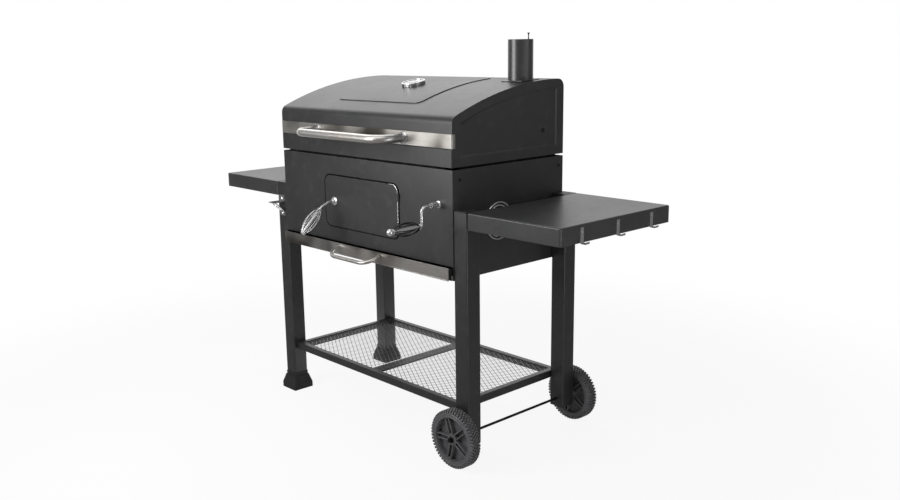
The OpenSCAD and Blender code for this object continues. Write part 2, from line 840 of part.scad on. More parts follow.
side_margin = 31;
module lid_side() difference() {
    union() {
        translate([inner_x, 0, 0]) slab_yz(sheet) lid_profile();
        translate([inner_x - press_depth, 0, 0]) slab_yz(press_depth + sheet / 2)
            side_field(side_margin - sheet);
    }
    translate([box_x - press_depth, 0, 0]) slab_yz(press_depth + over) side_field(side_margin);
    translate([0, rack_pivot_y, rack_pivot_z]) rod_x(inner_x - press_depth - over, box_x + over, stud_r);
}

// Pressed-in field of a lid side; its curved top follows the crown
module side_field(margin) intersection() {
    translate([crown_y, arc_z]) circle(r = arc_r - margin, $fn = 720);
    translate([margin + 6, lid_z + margin]) square([box_d - 2 * margin - 10, lid_h]);
}

module lid_side_right() in_place() color(black) lid_side();

module lid_side_left() in_place() color(black) mirror([1, 0, 0]) lid_side();

trim_z = lid_z + trim_rise;
trim_wrap = 11;

module lid_trim() in_place() color(steel) difference() {
    translate([-box_x - trim_t, -trim_t, trim_z]) cube([box_w + 2 * trim_t, trim_t + trim_wrap, trim_h]);
    translate([-box_x, 0, trim_z - over]) cube([box_w, trim_wrap + over, trim_h + 2 * over]);
}

// U-shaped tube: two legs from y = 0 and a bar at y = -reach, in the x-y plane
module bow(half, reach, bend, r) {
    both_sides() {
        translate([half, 0, 0]) rod_y(bend - reach, 0, r);
        translate([half - bend, bend - reach, 0]) rotate([0, 0, -90])
            rotate_extrude(angle = 90) translate([bend, 0]) circle(r = r);
    }
    translate([0, -reach, 0]) rod_x(bend - half, half - bend, r);
}

handle_z = trim_z + trim_h / 2;
mount_t = 5;
mount_r = trim_h / 2 - 1.5;

// A bow that droops from its mounts, cut square at y = 0
module drooping_bow(half, reach, bend, r, drop) difference() {
    rotate([drop, 0, 0]) translate([0, r, 0]) bow(half, reach + r, bend, r);
    translate([-box_x, 0, -box_x]) cube([box_w, box_w, box_w]);
}

module lid_handle() in_place() color(steel) translate([0, -trim_t - mount_t, handle_z])
    drooping_bow(lid_handle_half, lid_handle_reach - mount_t, lid_handle_bend, lid_tube_r, lid_handle_drop);

module handle_mounts() in_place() color(chrome) both_sides() translate([lid_handle_half, 0, handle_z]) {
    rod_y(-trim_t - mount_t, -trim_t, mount_r);
    rod_y(sheet, sheet + 4, 7);
}

probe_r = 3;
probe_l = 66;
glass_t = 2;
bezel_wall = 4;
lobe_count = 12;

// Places a piece square to the lid's skin at the thermometer
module gauge_seat() {
    translate([0, gauge_y, lid_top(gauge_y)]) rotate([gauge_tilt, 0, 0])
        translate([0, 0, press_depth]) children();
}

module thermometer_case() in_place() color(chrome) gauge_seat() difference() {
    union() {
        cylinder(r = gauge_r, h = gauge_h);
        translate([0, 0, -probe_l]) cylinder(r = probe_r, h = probe_l + 1);
        translate([0, 0, -sheet - 5.05]) cylinder(r = 8, h = 5, $fn = 6);
    }
    translate([0, 0, 3]) cylinder(r = gauge_r - bezel_wall, h = gauge_h);
    for (i = [0:lobe_count - 1]) rotate(i * 360 / lobe_count)
        translate([gauge_r + 4, 0, -over]) cylinder(r = 6, h = gauge_h - 2 + over);
}

module thermometer_dial() in_place() color("white") gauge_seat() translate([0, 0, 3])
    difference() {
        cylinder(r = gauge_r - bezel_wall, h = 1);
        cylinder(r = 1.2, h = 3, center = true);
    }

module thermometer_glass() in_place() color([0.8, 0.9, 1, 0.4]) gauge_seat()
    translate([0, 0, gauge_h - 1 - glass_t]) cylinder(r = gauge_r - bezel_wall, h = glass_t);

needle_z = 4 + seat_gap;
module thermometer_needle() in_place() color("black") gauge_seat() translate([0, 0, needle_z]) {
    difference() {
        union() {
            cylinder(r = 3.5, h = 1.2);
            rotate(210) translate([-6, -0.8, 0]) cube([gauge_r - bezel_wall, 1.6, 0.8]);
        }
    }
    translate([0, 0, 3 - needle_z]) cylinder(r = 1.2 - run_gap, h = needle_z - 3 + 0.5);
}

// ---------- chimney ----------

flange_t = 2;
chimney_tilt = lid_slope(chimney_y);

module chimney_cut() translate([chimney_x, chimney_y, lid_top(chimney_y)]) rotate([chimney_tilt, 0, 0])
    translate([-flange_w, -flange_w, -60]) cube([2 * flange_w, 2 * flange_w, 60]);

module chimney() in_place() color(black) difference() {
    union() {
        translate([chimney_x, chimney_y, lid_top(chimney_y) - 20])
            cylinder(r = chimney_r, h = chimney_top - lid_top(chimney_y) + 20);
        translate([chimney_x, chimney_y, lid_top(chimney_y)]) rotate([chimney_tilt, 0, 0])
            linear_extrude(flange_t) round_rect(flange_w, flange_w, 5);
    }
    chimney_cut();
    translate([chimney_x, chimney_y, lid_top(chimney_y) - 30]) difference() {
        cylinder(r = chimney_r - sheet, h = chimney_h + 60);
        translate([0, 0, chimney_top - damper_drop - lid_top(chimney_y) + 30])
            difference() {
                cylinder(r = chimney_r + over, h = damper_t);
                damper_holes();
                translate([0, 0, -over]) cylinder(r = rivet_r - 1, h = damper_t + 2 * over);
            }
    }
}

// Three round holes, turned by the shutter
module damper_holes() for (i = [0:2]) rotate(i * 120 + 105)
    translate([chimney_r * 0.5, 0, -over]) cylinder(r = chimney_r * 0.27, h = damper_t + 2 * over);

module chimney_damper() in_place() color(black)
    translate([chimney_x, chimney_y, chimney_top - damper_drop + damper_t + seat_gap]) {
        difference() {
            cylinder(r = chimney_r - sheet - slide_gap, h = damper_t);
            damper_holes();
        }
        rotate(knob_angle) translate([knob_ring, 0, damper_t - 0.01]) {
            cylinder(r = 1.8, h = knob_h);
            translate([0, 0, knob_h - 5]) cylinder(r = 4, h = 5);
        }
        cylinder(r = 6, h = damper_t + 1.5);
        translate([0, 0, -damper_t - 2 * seat_gap - 1.5]) cylinder(r = 5, h = 1.5);
        translate([0, 0, -damper_t - 2 * seat_gap - 1]) cylinder(r = rivet_r - 1 - run_gap, h = damper_t + 3);
    }

// ---------- warming rack ----------

rack_half = box_x - 17;
rack_rod = 3;
rack_depth = 170;
rack_y1 = rack_pivot_y + 12;
rack_plate_t = 2;
rack_plate_x = rack_half;
link_t = 2;
link_x = rack_plate_x + rack_plate_t + 0.5;
link_w = 14;

module warming_rack() in_place() color(chrome) {
    both_sides() difference() {
        translate([rack_plate_x, 0, 0]) slab_yz(rack_plate_t) {
            strap([rack_pivot_y, rack_pivot_z], [rack_pivot_y + link_dy, rack_pivot_z + link_dz], 16);
            translate([rack_y1 - rack_depth, rack_pivot_z + link_dz - 10]) square([rack_depth, 13]);
        }
        translate([0, rack_pivot_y, rack_pivot_z])
            rod_x(rack_plate_x - over, rack_plate_x + rack_plate_t + over, stud_r + run_gap);
    }
    // studs that carry the links
    both_sides() translate([0, rack_pivot_y + link_dy, rack_pivot_z + link_dz])
        rod_x(rack_plate_x + 0.5, link_x + link_t + 1, stud_r);
    rack_z = rack_pivot_z + link_dz - 5;
    for (y = [rack_y1 - rack_depth + 4, rack_y1 - 4])
        translate([-rack_plate_x - 1, y - rack_rod, rack_z - rack_rod])
            cube([2 * rack_plate_x + 2, 2 * rack_rod, 2 * rack_rod]);
    count = floor(2 * rack_plate_x / 22);
    for (i = [1:count - 1]) translate([-rack_plate_x + i * 2 * rack_plate_x / count, 0, rack_z])
        rod_y(rack_y1 - rack_depth + 4, rack_y1 - 4, 1.8);
}

// Bolts through the lid's sides on which the rack hangs
module rack_bolts() in_place() color(chrome) both_sides() translate([0, rack_pivot_y, rack_pivot_z]) {
    rod_x(rack_plate_x - 2, box_x, stud_r);
    translate([box_x - press_depth, 0, 0]) rotate([0, 90, 0]) bolt_head(6, 4);
    rod_x(rack_plate_x - 4, rack_plate_x - 0.4, stud_r + 3);
}

// Links that keep the rack level, from the firebox to the rack
module rack_links() in_place() color(chrome) both_sides() difference() {
    translate([link_x, 0, 0]) slab_yz(link_t)
        strap([link_base_y, link_base_z], [link_base_y + link_l_y, link_base_z + link_l_z], link_w);
    translate([0, link_base_y, link_base_z]) rod_x(link_x - over, link_x + link_t + over, stud_r + run_gap);
    translate([0, link_base_y + link_l_y, link_base_z + link_l_z])
        rod_x(link_x - over, link_x + link_t + over, stud_r + 0.4);
}

// ---------- charcoal door and latch ----------

door_rim = door_proud - door_gap;
module charcoal_door() in_place() color(black) difference() {
    union() {
        difference() {
            translate([0, -door_gap, door_z]) upright(door_rim) round_rect(door_w, door_h, door_r);
            translate([0, over, door_z]) upright(door_rim + over - door_t + door_gap - 0.01)
                round_rect(door_w - 2 * door_t, door_h - 2 * door_t, door_r - door_t);
        }
        for (dz = [-1, 1]) door_knuckle(door_z + dz * door_h * 0.28, 10);
        // bearing block behind the skin for the latch shaft
        translate([latch_x, 0, door_z]) rod_y(-door_proud + 0.5, -door_gap, latch_shaft_r + 5);
    }
    translate([latch_x, 0, door_z]) rod_y(-door_proud - over, over, latch_shaft_r + run_gap);
}

// Knuckle of the door round its upright pin, joined to the door's edge
module door_knuckle(z, h) difference() {
    union() {
        translate([door_pin_x, door_pin_y, z - h / 2]) cylinder(r = door_knuckle_r, h = h);
        translate([door_w / 2 - door_t, door_pin_y - door_knuckle_r, z - h / 2])
            cube([door_pin_x - door_w / 2 + door_t, door_t, h]);
    }
    translate([door_pin_x, door_pin_y, z - h]) cylinder(r = door_pin_r + run_gap, h = 2 * h);
}

// Lugs on the front panel with their pins
module door_hinge() in_place() color(black) for (dz = [-1, 1]) {
    z = door_z + dz * door_h * 0.28;
    for (side = [-1, 1]) translate([door_pin_x, door_pin_y, z + side * 8.5 - 3])
        union() {
            cylinder(r = door_knuckle_r, h = 6);
            translate([-door_knuckle_r, 0, 0]) cube([2 * door_knuckle_r, -door_pin_y, 6]);
        }
    translate([door_pin_x, door_pin_y, z - 11]) cylinder(r = door_pin_r, h = 22);
}

// Lever: washer, shaft through the door, tongue behind it and the bent rod outside
module latch_lever() in_place() color(chrome) translate([latch_x, 0, door_z]) {
    rod_y(-latch_start, 9, latch_shaft_r);
    translate([0, -latch_start, 0]) {
        sphere(r = latch_shaft_r);
        along(latch_bend / norm(latch_bend)) cylinder(r = latch_shaft_r - 0.3, h = norm(latch_bend));
    }
    rod_y(-door_proud - 3.3, -door_proud - seat_gap, 14);
    rod_y(-door_proud - 10, -door_proud - 3, 8);
    translate([-6, sheet + 2.5, -tongue_l]) cube([12, 3, tongue_l + 6]);
    translate(latch_elbow) {
        sphere(r = latch_shaft_r);
        along(latch_dir) cylinder(r = latch_shaft_r - 0.5, h = latch_neck);
    }
}

// Turns +z to a direction
module along(dir) {
    rotate([0, acos(dir[2]), atan2(dir[1], dir[0])]) children();
}

// Cage grip along +z: a tube with wires bowed round it
module cage_grip(len, bore_r) {
    ring = 3;
    span = len - 2 * ring;
    bow_h = grip_r - ring;
    wire_r = 1.3;
    curve_r = (span * span / 4 + bow_h * bow_h) / (2 * bow_h);
    half_angle = asin(span / 2 / curve_r);
    difference() {
        union() {
            cylinder(r = bore_r + 2.5, h = len);
            for (z = [0, len - ring]) translate([0, 0, z]) cylinder(r = bore_r + 4.5, h = ring);
        }
        translate([0, 0, -over]) cylinder(r = bore_r, h = len + 2 * over);
    }
    for (i = [0:grip_wires - 1]) rotate(i * 360 / grip_wires)
        translate([bow_h + bore_r + 1.5 - curve_r, 0, len / 2]) rotate([90, 0, 0])
            rotate_extrude(angle = 2 * half_angle, start = -half_angle)
                translate([curve_r, 0]) circle(r = wire_r, $fn = 16);
}

module latch_grip() in_place() color(chrome)
    translate([latch_x, 0, door_z]) translate(latch_elbow) along(latch_dir) translate([0, 0, latch_neck])
        union() {
            cage_grip(grip_l, latch_shaft_r - 0.5);
            cylinder(r = latch_shaft_r - 0.5, h = grip_l);
        }

// ---------- crank, lift and pan ----------

// One pinion tooth space at a time: a toothed disc drawn as a polygon
function pinion_points(phase) = [for (i = [0:pinion_teeth - 1], k = [0:3])
    let (a = phase + i * 360 / pinion_teeth,
        root = pitch_r - dedendum,
        tip = pitch_r + addendum,
        r = (k == 0 || k == 3) ? root : tip,
        half = (k == 0 || k == 3) ? 0.25 * 360 / pinion_teeth : 0.09 * 360 / pinion_teeth,
        s = k < 2 ? -1 : 1)
    [r * cos(a + s * half), r * sin(a + s * half)]];

module pinion() rotate([90, 0, 0]) linear_extrude(pinion_w, center = true)
    polygon(pinion_points(180 / pinion_teeth + 180));

module crank() in_place() color(chrome) translate([crank_x, 0, shaft_z]) {
    rod_y(-crank_reach, box_d + bush_l + 2, rod_r);
    for (y = lift_y) translate([0, y, 0]) pinion();
    translate([0, -crank_reach, 0]) sphere(r = rod_r);
    translate([0, -crank_reach, -crank_arm]) cylinder(r = rod_r, h = crank_arm);
    translate([0, -crank_reach, -crank_arm]) {
        sphere(r = rod_r);
        rod_y(-grip_spacer - rod_r - grip_l - 3, 0, rod_r - 0.5);
        rod_y(0.3 - grip_spacer - rod_r, 0, rod_r + 0.5);
    }
    translate([0, -front_reach + ball_r, -crank_arm]) sphere(r = ball_r);
}

module crank_grip() in_place() color(chrome)
    translate([crank_x, -grip_start, shaft_z - crank_arm]) rotate([90, 0, 0])
        cage_grip(grip_l, rod_r - 0.5 + run_gap);

rack_tooth_half = pitch * 0.21;
module tooth_rack(y) translate([0, y + rack_w / 2, 0]) rotate([90, 0, 0]) linear_extrude(rack_w) {
    root_x = rack_x - dedendum;
    translate([root_x - rack_back, bar_z]) square([rack_back, rack_top - bar_z]);
    below = floor((shaft_z - pan_z - 4) / pitch);
    for (i = [-below:1]) translate([root_x, shaft_z + i * pitch])
        polygon([[-0.5, -rack_tooth_half - 1.1], [dedendum + addendum, -rack_tooth_half + 1.2],
            [dedendum + addendum, rack_tooth_half - 1.2], [-0.5, rack_tooth_half + 1.1]]);
}

module lift_frame() in_place() color(black) {
    for (y = lift_y) {
        translate([-neck_x, y - bar_w / 2, bar_z]) cube([2 * neck_x, bar_w, bar_h]);
        tooth_rack(y);
    }
    for (x = [-pan_w * 0.35, pan_w * 0.35])
        translate([x - bar_w / 2, lift_y[0], bar_z]) cube([bar_w, lift_y[1] - lift_y[0], bar_h]);
    both_sides() for (y = lift_y) {
        translate([neck_x - 1, y - slider_w / 2, bar_z]) cube([10, slider_w, bar_h]);
        translate([slider_x - 2, y - slider_w / 2, bar_z - 40])
            cube([inner_x - guide_t - slide_gap - slider_x + 2, slider_w, slider_h]);
    }
}

module charcoal_pan() in_place() color(iron) difference() {
    translate([-pan_w / 2, pan_y, pan_z]) cube([pan_w, box_d - 2 * pan_y, pan_h]);
    translate([-pan_w / 2 + sheet, pan_y + sheet, pan_z + sheet])
        cube([pan_w - 2 * sheet, box_d - 2 * pan_y - 2 * sheet, pan_h]);
    slots = floor(pan_w / 40) - 1;
    for (i = [0:slots - 1], j = [0:2])
        translate([(i - (slots - 1) / 2) * 40 - 4, box_d / 2 + (j - 1) * 118 - 45, pan_z - over])
            cube([8, 90, sheet + 2 * over]);
}

// ---------- ash drawer ----------

drawer_half = inner_x - 6;
drawer_h = drawer_slot - 7;
module ash_drawer() in_place() color(iron) difference() {
    translate([-drawer_half, -drawer_proud, drawer_z]) cube([2 * drawer_half, inner_y - 10 + drawer_proud, drawer_h]);
    translate([-drawer_half + sheet, -drawer_proud + sheet, drawer_z + sheet])
        cube([2 * (drawer_half - sheet), inner_y - 10 + drawer_proud - 2 * sheet, drawer_h]);
}

module drawer_front() in_place() color(steel)
    translate([-drawer_half - 1.5, -drawer_proud - strip_t, box_z + 1])
        cube([2 * drawer_half + 3, strip_t, drawer_slot - strip_gap - 1]);

drawer_handle_z = box_z + drawer_slot * 0.68;
module drawer_handle() in_place() color(steel)
    translate([0, -drawer_proud - strip_t, drawer_handle_z])
        drooping_bow(drawer_handle_half, drawer_handle_reach, drawer_handle_bend, drawer_tube_r, drawer_handle_drop);

// ---------- wheels and vents ----------

spoke_angle = 40;
hub_r = 17;

// Wheel with its outer face at y = 0 and its inner face at y = wheel_w
module wheel_body() difference() {
    union() {
        difference() {
            rod_y(3, wheel_w - 3, wheel_r);
            rod_y(-over, wheel_w + over, rim_r);
        }
        difference() {
            rod_y(0, wheel_w, wheel_r - 7);
            rod_y(-over, wheel_w + over, rim_r);
        }
        rod_y(wheel_w / 2 - 1, wheel_w / 2 + 2, rim_r + 1);
        rod_y(3, wheel_w, hub_r);
        for (i = [0:4], side = [-1, 1]) rotate([0, -spoke_angle - i * 72, 0])
            translate([hub_r - 4, 4, side * 7 - 2]) cube([rim_r - hub_r + 6, wheel_w - 10, 4]);
    }
    rod_y(-over, wheel_w + over, axle_r + run_gap);
    for (i = [0:lug_count - 1]) rotate([0, i * 360 / lug_count, 0])
        translate([wheel_r - 3.5, -over, -2]) cube([6, wheel_w + 2 * over, 4]);
}

module wheel_front() in_place() color(plastic)
    translate([leg_x, wheel_y_front, wheel_r]) wheel_body();

module wheel_rear() in_place() color(plastic)
    translate([leg_x, wheel_y_rear + wheel_w, wheel_r]) mirror([0, 1, 0]) wheel_body();

vent_t = 2;
vent_rim = 5;
module vent() translate([box_x + seat_gap, vent_y, vent_z]) difference() {
    union() {
        rod_x(0, vent_t, vent_r);
        difference() {
            rod_x(0, vent_rim, vent_r);
            rod_x(-over, vent_rim + over, vent_r - 3);
        }
        difference() {
            rod_x(0, vent_rim - 1, vent_r * 0.84);
            rod_x(-over, vent_rim + over, vent_r * 0.84 - 2);
        }
        translate([vent_t - 0.01, -5, -vent_r + 9]) cube([14, 10, 3]);
    }
    vent_cut(-over, vent_t + 2 * over);
    rod_x(-over, vent_rim + over, rivet_r - 1);
}

module vent_right() in_place() color(chrome) vent();

module vent_left() in_place() color(chrome) mirror([1, 0, 0]) vent();

leg_front_left();
leg_rear_left();
leg_front_right();
leg_rear_right();
feet();
leg_plugs();
firebox_front();
firebox_rear();
firebox_left();
firebox_right();
rim_frame();
lid_stops();
table_left();
table_right();
table_hooks();
bottle_opener();
shelf_frame();
shelf_mesh();
axle();
axle_nuts();
drawer_runners();
grate_left();
grate_right();
grate_rests();
lift_guides();
crank_bushes();
body_bolts();
hinge_brackets();
lid_hinge_pins();
door_hinge();
lid_shell();
lid_side_left();
lid_side_right();
lid_trim();
lid_handle();
handle_mounts();
thermometer_case();
thermometer_dial();
thermometer_glass();
chimney();
lid_hinge_leaves();
rack_bolts();
warming_rack();
rack_links();
chimney_damper();
thermometer_needle();
charcoal_door();
latch_lever();
latch_grip();
crank();
crank_grip();
charcoal_pan();
lift_frame();
ash_drawer();
drawer_front();
drawer_handle();
wheel_front();
wheel_rear();
vent_right();
vent_left();
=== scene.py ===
"""Charcoal grill cart: the modelled pieces and the finishes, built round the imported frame."""

from __future__ import annotations

import logging
import math
from dataclasses import dataclass, field
from enum import Enum
from typing import Callable, Sequence

import bmesh
import bpy
from mathutils import Matrix, Vector


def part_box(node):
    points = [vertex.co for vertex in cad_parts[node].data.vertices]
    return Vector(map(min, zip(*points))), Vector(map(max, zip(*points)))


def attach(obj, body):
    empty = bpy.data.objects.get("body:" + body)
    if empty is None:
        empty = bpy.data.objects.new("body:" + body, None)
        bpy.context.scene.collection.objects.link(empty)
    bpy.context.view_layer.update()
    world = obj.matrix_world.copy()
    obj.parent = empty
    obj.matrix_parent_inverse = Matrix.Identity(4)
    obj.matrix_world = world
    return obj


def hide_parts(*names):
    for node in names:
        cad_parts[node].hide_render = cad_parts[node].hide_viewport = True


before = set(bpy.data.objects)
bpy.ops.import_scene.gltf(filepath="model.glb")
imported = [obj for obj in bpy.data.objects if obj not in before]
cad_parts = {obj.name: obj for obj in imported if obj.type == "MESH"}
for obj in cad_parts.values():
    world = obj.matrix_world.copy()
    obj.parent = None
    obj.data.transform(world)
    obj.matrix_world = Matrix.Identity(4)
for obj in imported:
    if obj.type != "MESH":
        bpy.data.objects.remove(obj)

LOG = logging.getLogger("grill_cart")
Test = Callable[[Vector], bool]
Point = Sequence[float]
Tone = tuple[float, float, float]
Outline = Sequence[tuple[float, float]]

X_AXIS = Vector((1, 0, 0))
Y_AXIS = Vector((0, 1, 0))
Z_AXIS = Vector((0, 0, 1))
WELD = 0.00001  # doubled vertices lie closer than this, in metres
FACING = 0.9  # the least cosine between a chosen face's normal and its direction
PARALLEL = 0.98  # the least cosine between a chosen edge and its direction


# ---------------------------------------------------------------- shader wiring


class Wire:
    """A shader socket or number that takes part in arithmetic; each step adds a Math node."""

    def __init__(self, bench: "NodeBench", socket: bpy.types.NodeSocket) -> None:
        """Wraps a socket of one material.

        Args:
            bench: the node bench that owns the material.
            socket: an output socket.
        """
        self.bench = bench
        self.socket = socket

    def _math(self, operation: str, *values: "Wire | float") -> "Wire":
        """Adds one Math node.

        Args:
            operation: the node's operation.
            values: its inputs, in order.

        Returns:
            The node's result.
        """
        return self.bench.node("ShaderNodeMath", {"operation": operation}, dict(enumerate(values)))

    def __add__(self, other: "Wire | float") -> "Wire":
        """Returns self + other."""
        return self._math("ADD", self, other)

    def __radd__(self, other: float) -> "Wire":
        """Returns other + self."""
        return self._math("ADD", other, self)

    def __sub__(self, other: "Wire | float") -> "Wire":
        """Returns self - other."""
        return self._math("SUBTRACT", self, other)

    def __rsub__(self, other: float) -> "Wire":
        """Returns other - self."""
        return self._math("SUBTRACT", other, self)

    def __mul__(self, other: "Wire | float") -> "Wire":
        """Returns self * other."""
        return self._math("MULTIPLY", self, other)

    def __rmul__(self, other: float) -> "Wire":
        """Returns other * self."""
        return self._math("MULTIPLY", other, self)

    def most(self, other: "Wire | float") -> "Wire":
        """Returns the greater of the two."""
        return self._math("MAXIMUM", self, other)

    def ramp(self, low: float, high: float) -> "Wire":
        """Returns a smooth 0 to 1 step between two levels.

        Args:
            low: the level that gives 0.
            high: the level that gives 1.

        Returns:
            The stepped value.
        """
        settings = {"interpolation_type": "SMOOTHSTEP"}
        return self.bench.node("ShaderNodeMapRange", settings, {0: self, 1: low, 2: high})


class NodeBench:
    """One material's node tree and the ways to add nodes to it."""

    def __init__(self, tree: bpy.types.NodeTree) -> None:
        """Clears the tree.

        Args:
            tree: the material's or world's node tree.
        """
        self.tree = tree
        tree.nodes.clear()

    def node(
        self,
        kind: str,
        settings: dict[str, object] | None = None,
        inputs: dict[int | str, object] | None = None,
        output: int | str = 0,
    ) -> Wire | None:
        """Adds a node.

        Args:
            kind: the node's type.
            settings: attributes, set before the inputs.
            inputs: values or wires by socket name or number.
            output: the output that is returned.

        Returns:
            The chosen output as a wire; an output node has none.
        """
        made = self.tree.nodes.new(kind)
        for name, value in (settings or {}).items():
            setattr(made, name, value)
        for name, value in (inputs or {}).items():
            if isinstance(value, Wire):
                self.tree.links.new(value.socket, made.inputs[name])
            else:
                made.inputs[name].default_value = value
        return Wire(self, made.outputs[output]) if len(made.outputs) else None

    def place(self, scale: Point = (1, 1, 1)) -> Wire:
        """Returns object coordinates, scaled along each axis."""
        where = self.node("ShaderNodeTexCoord", output="Object")
        return self.node("ShaderNodeMapping", None, {"Vector": where, "Scale": scale})

    def vector(self, operation: str, *values: object, output: str = "Value") -> Wire:
        """Returns what a Vector Math node gives."""
        return self.node("ShaderNodeVectorMath", {"operation": operation}, dict(enumerate(values)), output)

    def principled(self, values: dict[str, object]) -> Wire:
        """Returns a Principled surface with these inputs."""
        return self.node("ShaderNodeBsdfPrincipled", None, values)

    def noise(self, where: Wire, scale: float, detail: float, rough: float = 0.55) -> Wire:
        """Noise from 0 to 1.

        Args:
            where: the vector that it reads.
            scale: its scale, per metre.
            detail: its octaves.
            rough: their roughness.

        Returns:
            The noise value.
        """
        values = {"Vector": where, "Scale": scale, "Detail": detail, "Roughness": rough}
        return self.node("ShaderNodeTexNoise", None, values, "Fac")

    def blend(self, share: Wire | float, first: object, second: object) -> Wire:
        """A mix of two colours.

        Args:
            share: how much of the second colour shows.
            first: a colour or wire.
            second: a colour or wire.

        Returns:
            The mixed colour.
        """
        ends = [(*c, 1.0) if isinstance(c, tuple) else c for c in (first, second)]
        return self.node("ShaderNodeMix", {"data_type": "RGBA"}, {0: share, 6: ends[0], 7: ends[1]}, 2)

    def bump(self, height: Wire, depth: float, strength: float) -> Wire:
        """A bumped normal.

        Args:
            height: the height, from 0 to 1.
            depth: its depth in metres.
            strength: its strength.

        Returns:
            The normal.
        """
        return self.node("ShaderNodeBump", None, {"Height": height, "Distance": depth, "Strength": strength})


# ---------------------------------------------------------------- finishes


def tinted(tone: Tone, factor: float, lift: float = 0.0) -> Tone:
    """Returns a tone made lighter or darker."""
    return tuple(c * factor + lift for c in tone)


@dataclass(frozen=True)
class Finish:
    """A surface finish that makes its material once."""

    name: str

    def material(self) -> bpy.types.Material:
        """Returns the finish's material, made on first use."""
        found = bpy.data.materials.get(self.name)
        if found:
            return found
        made = bpy.data.materials.new(self.name)
        made.use_nodes = True
        bench = NodeBench(made.node_tree)
        shader = self.shader(bench)
        bench.node("ShaderNodeOutputMaterial", None, {"Surface": shader})
        return made

    def shader(self, bench: NodeBench) -> Wire:
        """Builds the finish's surface shader."""
        raise NotImplementedError


@dataclass(frozen=True)
class PowderCoat(Finish):
    """Fine-textured baked enamel on sheet steel."""

    tone: Tone = (0.0115, 0.0117, 0.0124)
    roughness: float = 0.43
    texture: float = 0.00006
    shine: float = 1.0

    def shader(self, bench: NodeBench) -> Wire:
        """Orange-peel bump, faint cloudiness and a fine dusting that changes the gloss."""
        where = bench.place()
        cloud = bench.noise(where, 5.0, 3.0)
        fine = bench.noise(where, 420.0, 2.0)
        peel = bench.noise(where, 1150.0, 2.0)
        dust = bench.noise(where, 38.0, 5.0, 0.6).ramp(0.5, 0.78)
        paler = tinted(self.tone, 1.4, 0.001)
        colour = bench.blend(cloud.ramp(0.3, 0.75), self.tone, paler)
        dusty = bench.blend(dust * 0.12, colour, (0.12, 0.118, 0.112))
        gloss = cloud * 0.1 + fine * 0.08 + dust * 0.06 + (self.roughness - 0.1)
        normal = bench.bump(peel * 0.6 + fine * 0.4, self.texture, 0.5)
        return bench.principled(
            {"Base Color": dusty, "Roughness": gloss, "Normal": normal, "Specular IOR Level": self.shine}
        )


@dataclass(frozen=True)
class BrushedSteel(Finish):
    """Stainless sheet or tube, brushed along X."""

    grain: Point = (3.0, 260.0, 260.0)
    tone: Tone = (0.60, 0.585, 0.56)
    roughness: float = 0.3
    # How dark the broad patches go; they are painted reflection as much as cloudiness.
    patch: float = 0.3

    def shader(self, bench: NodeBench) -> Wire:
        """Long streaks in colour, gloss and height, and broad darker patches that paint dark reflections over
        some real cloudiness.
        """
        where = bench.place(self.grain)
        streak = bench.noise(where, 6.0, 4.0, 0.65)
        # Broad dark patches: painted reflection, partly real cloudiness.
        dark_reflection_blotch = bench.noise(bench.place(), 5.0, 2.0)
        darker = tinted(self.tone, 0.72)
        colour = bench.blend(streak.ramp(0.3, 0.7), darker, self.tone)
        dull = tuple(c * f * (1 - self.patch) for c, f in zip(self.tone, (1.02, 0.97, 0.9)))
        toned = bench.blend(dark_reflection_blotch.ramp(0.42, 0.66), colour, dull)
        gloss = streak * 0.16 + (self.roughness - 0.08)
        normal = bench.bump(streak, 0.00003, 0.35)
        return bench.principled({"Base Color": toned, "Metallic": 1.0, "Roughness": gloss, "Normal": normal})


@dataclass(frozen=True)
class BrightMetal(Finish):
    """Plated or polished metal with faint smears."""

    tone: Tone = (0.75, 0.75, 0.76)
    roughness: float = 0.17
    metal: float = 1.0

    def shader(self, bench: NodeBench) -> Wire:
        """Almost even gloss, cloudier where it has been handled."""
        where = bench.place()
        smear = bench.noise(where, 24.0, 4.0)
        pits = bench.noise(where, 900.0, 2.0)
        darker = tinted(self.tone, 0.82)
        colour = bench.blend(smear.ramp(0.4, 0.8), self.tone, darker)
        gloss = smear.ramp(0.35, 0.8) * 0.12 + self.roughness
        normal = bench.bump(pits, 0.00001, 0.3)
        return bench.principled(
            {"Base Color": colour, "Metallic": self.metal, "Roughness": gloss, "Normal": normal}
        )


@dataclass(frozen=True)
class MouldedPlastic(Finish):
    """Matt injection-moulded plastic with a spark-eroded grain."""

    tone: Tone = (0.018, 0.018, 0.019)
    roughness: float = 0.5

    def shader(self, bench: NodeBench) -> Wire:
        """Leathery grain and dull scuffs."""
        where = bench.place()
        grain = bench.node("ShaderNodeTexVoronoi", None, {"Vector": where, "Scale": 900.0})
        scuff = bench.noise(where, 45.0, 5.0, 0.65).ramp(0.52, 0.72)
        paler = tinted(self.tone, 1.8, 0.006)
        colour = bench.blend(scuff * 0.5, self.tone, paler)
        gloss = scuff * 0.16 + (self.roughness - 0.04)
        normal = bench.bump(grain, 0.00008, 0.4)
        return bench.principled({"Base Color": colour, "Roughness": gloss, "Normal": normal})


@dataclass(frozen=True)
class RoughIron(Finish):
    """Cast or enamelled iron with a sandy skin."""

    tone: Tone = (0.03, 0.03, 0.031)
    roughness: float = 0.6
    sand: float = 0.0004

    def shader(self, bench: NodeBench) -> Wire:
        """Sand-cast bump with darker hollows."""
        where = bench.place()
        sand = bench.noise(where, 380.0, 5.0, 0.6)
        patch = bench.noise(where, 16.0, 4.0)
        paler = tinted(self.tone, 2.2)
        colour = bench.blend(sand.ramp(0.35, 0.7) * patch, self.tone, paler)
        gloss = patch * 0.2 + (self.roughness - 0.1)
        normal = bench.bump(sand, self.sand, 0.6)
        return bench.principled({"Base Color": colour, "Roughness": gloss, "Normal": normal, "Metallic": 0.3})


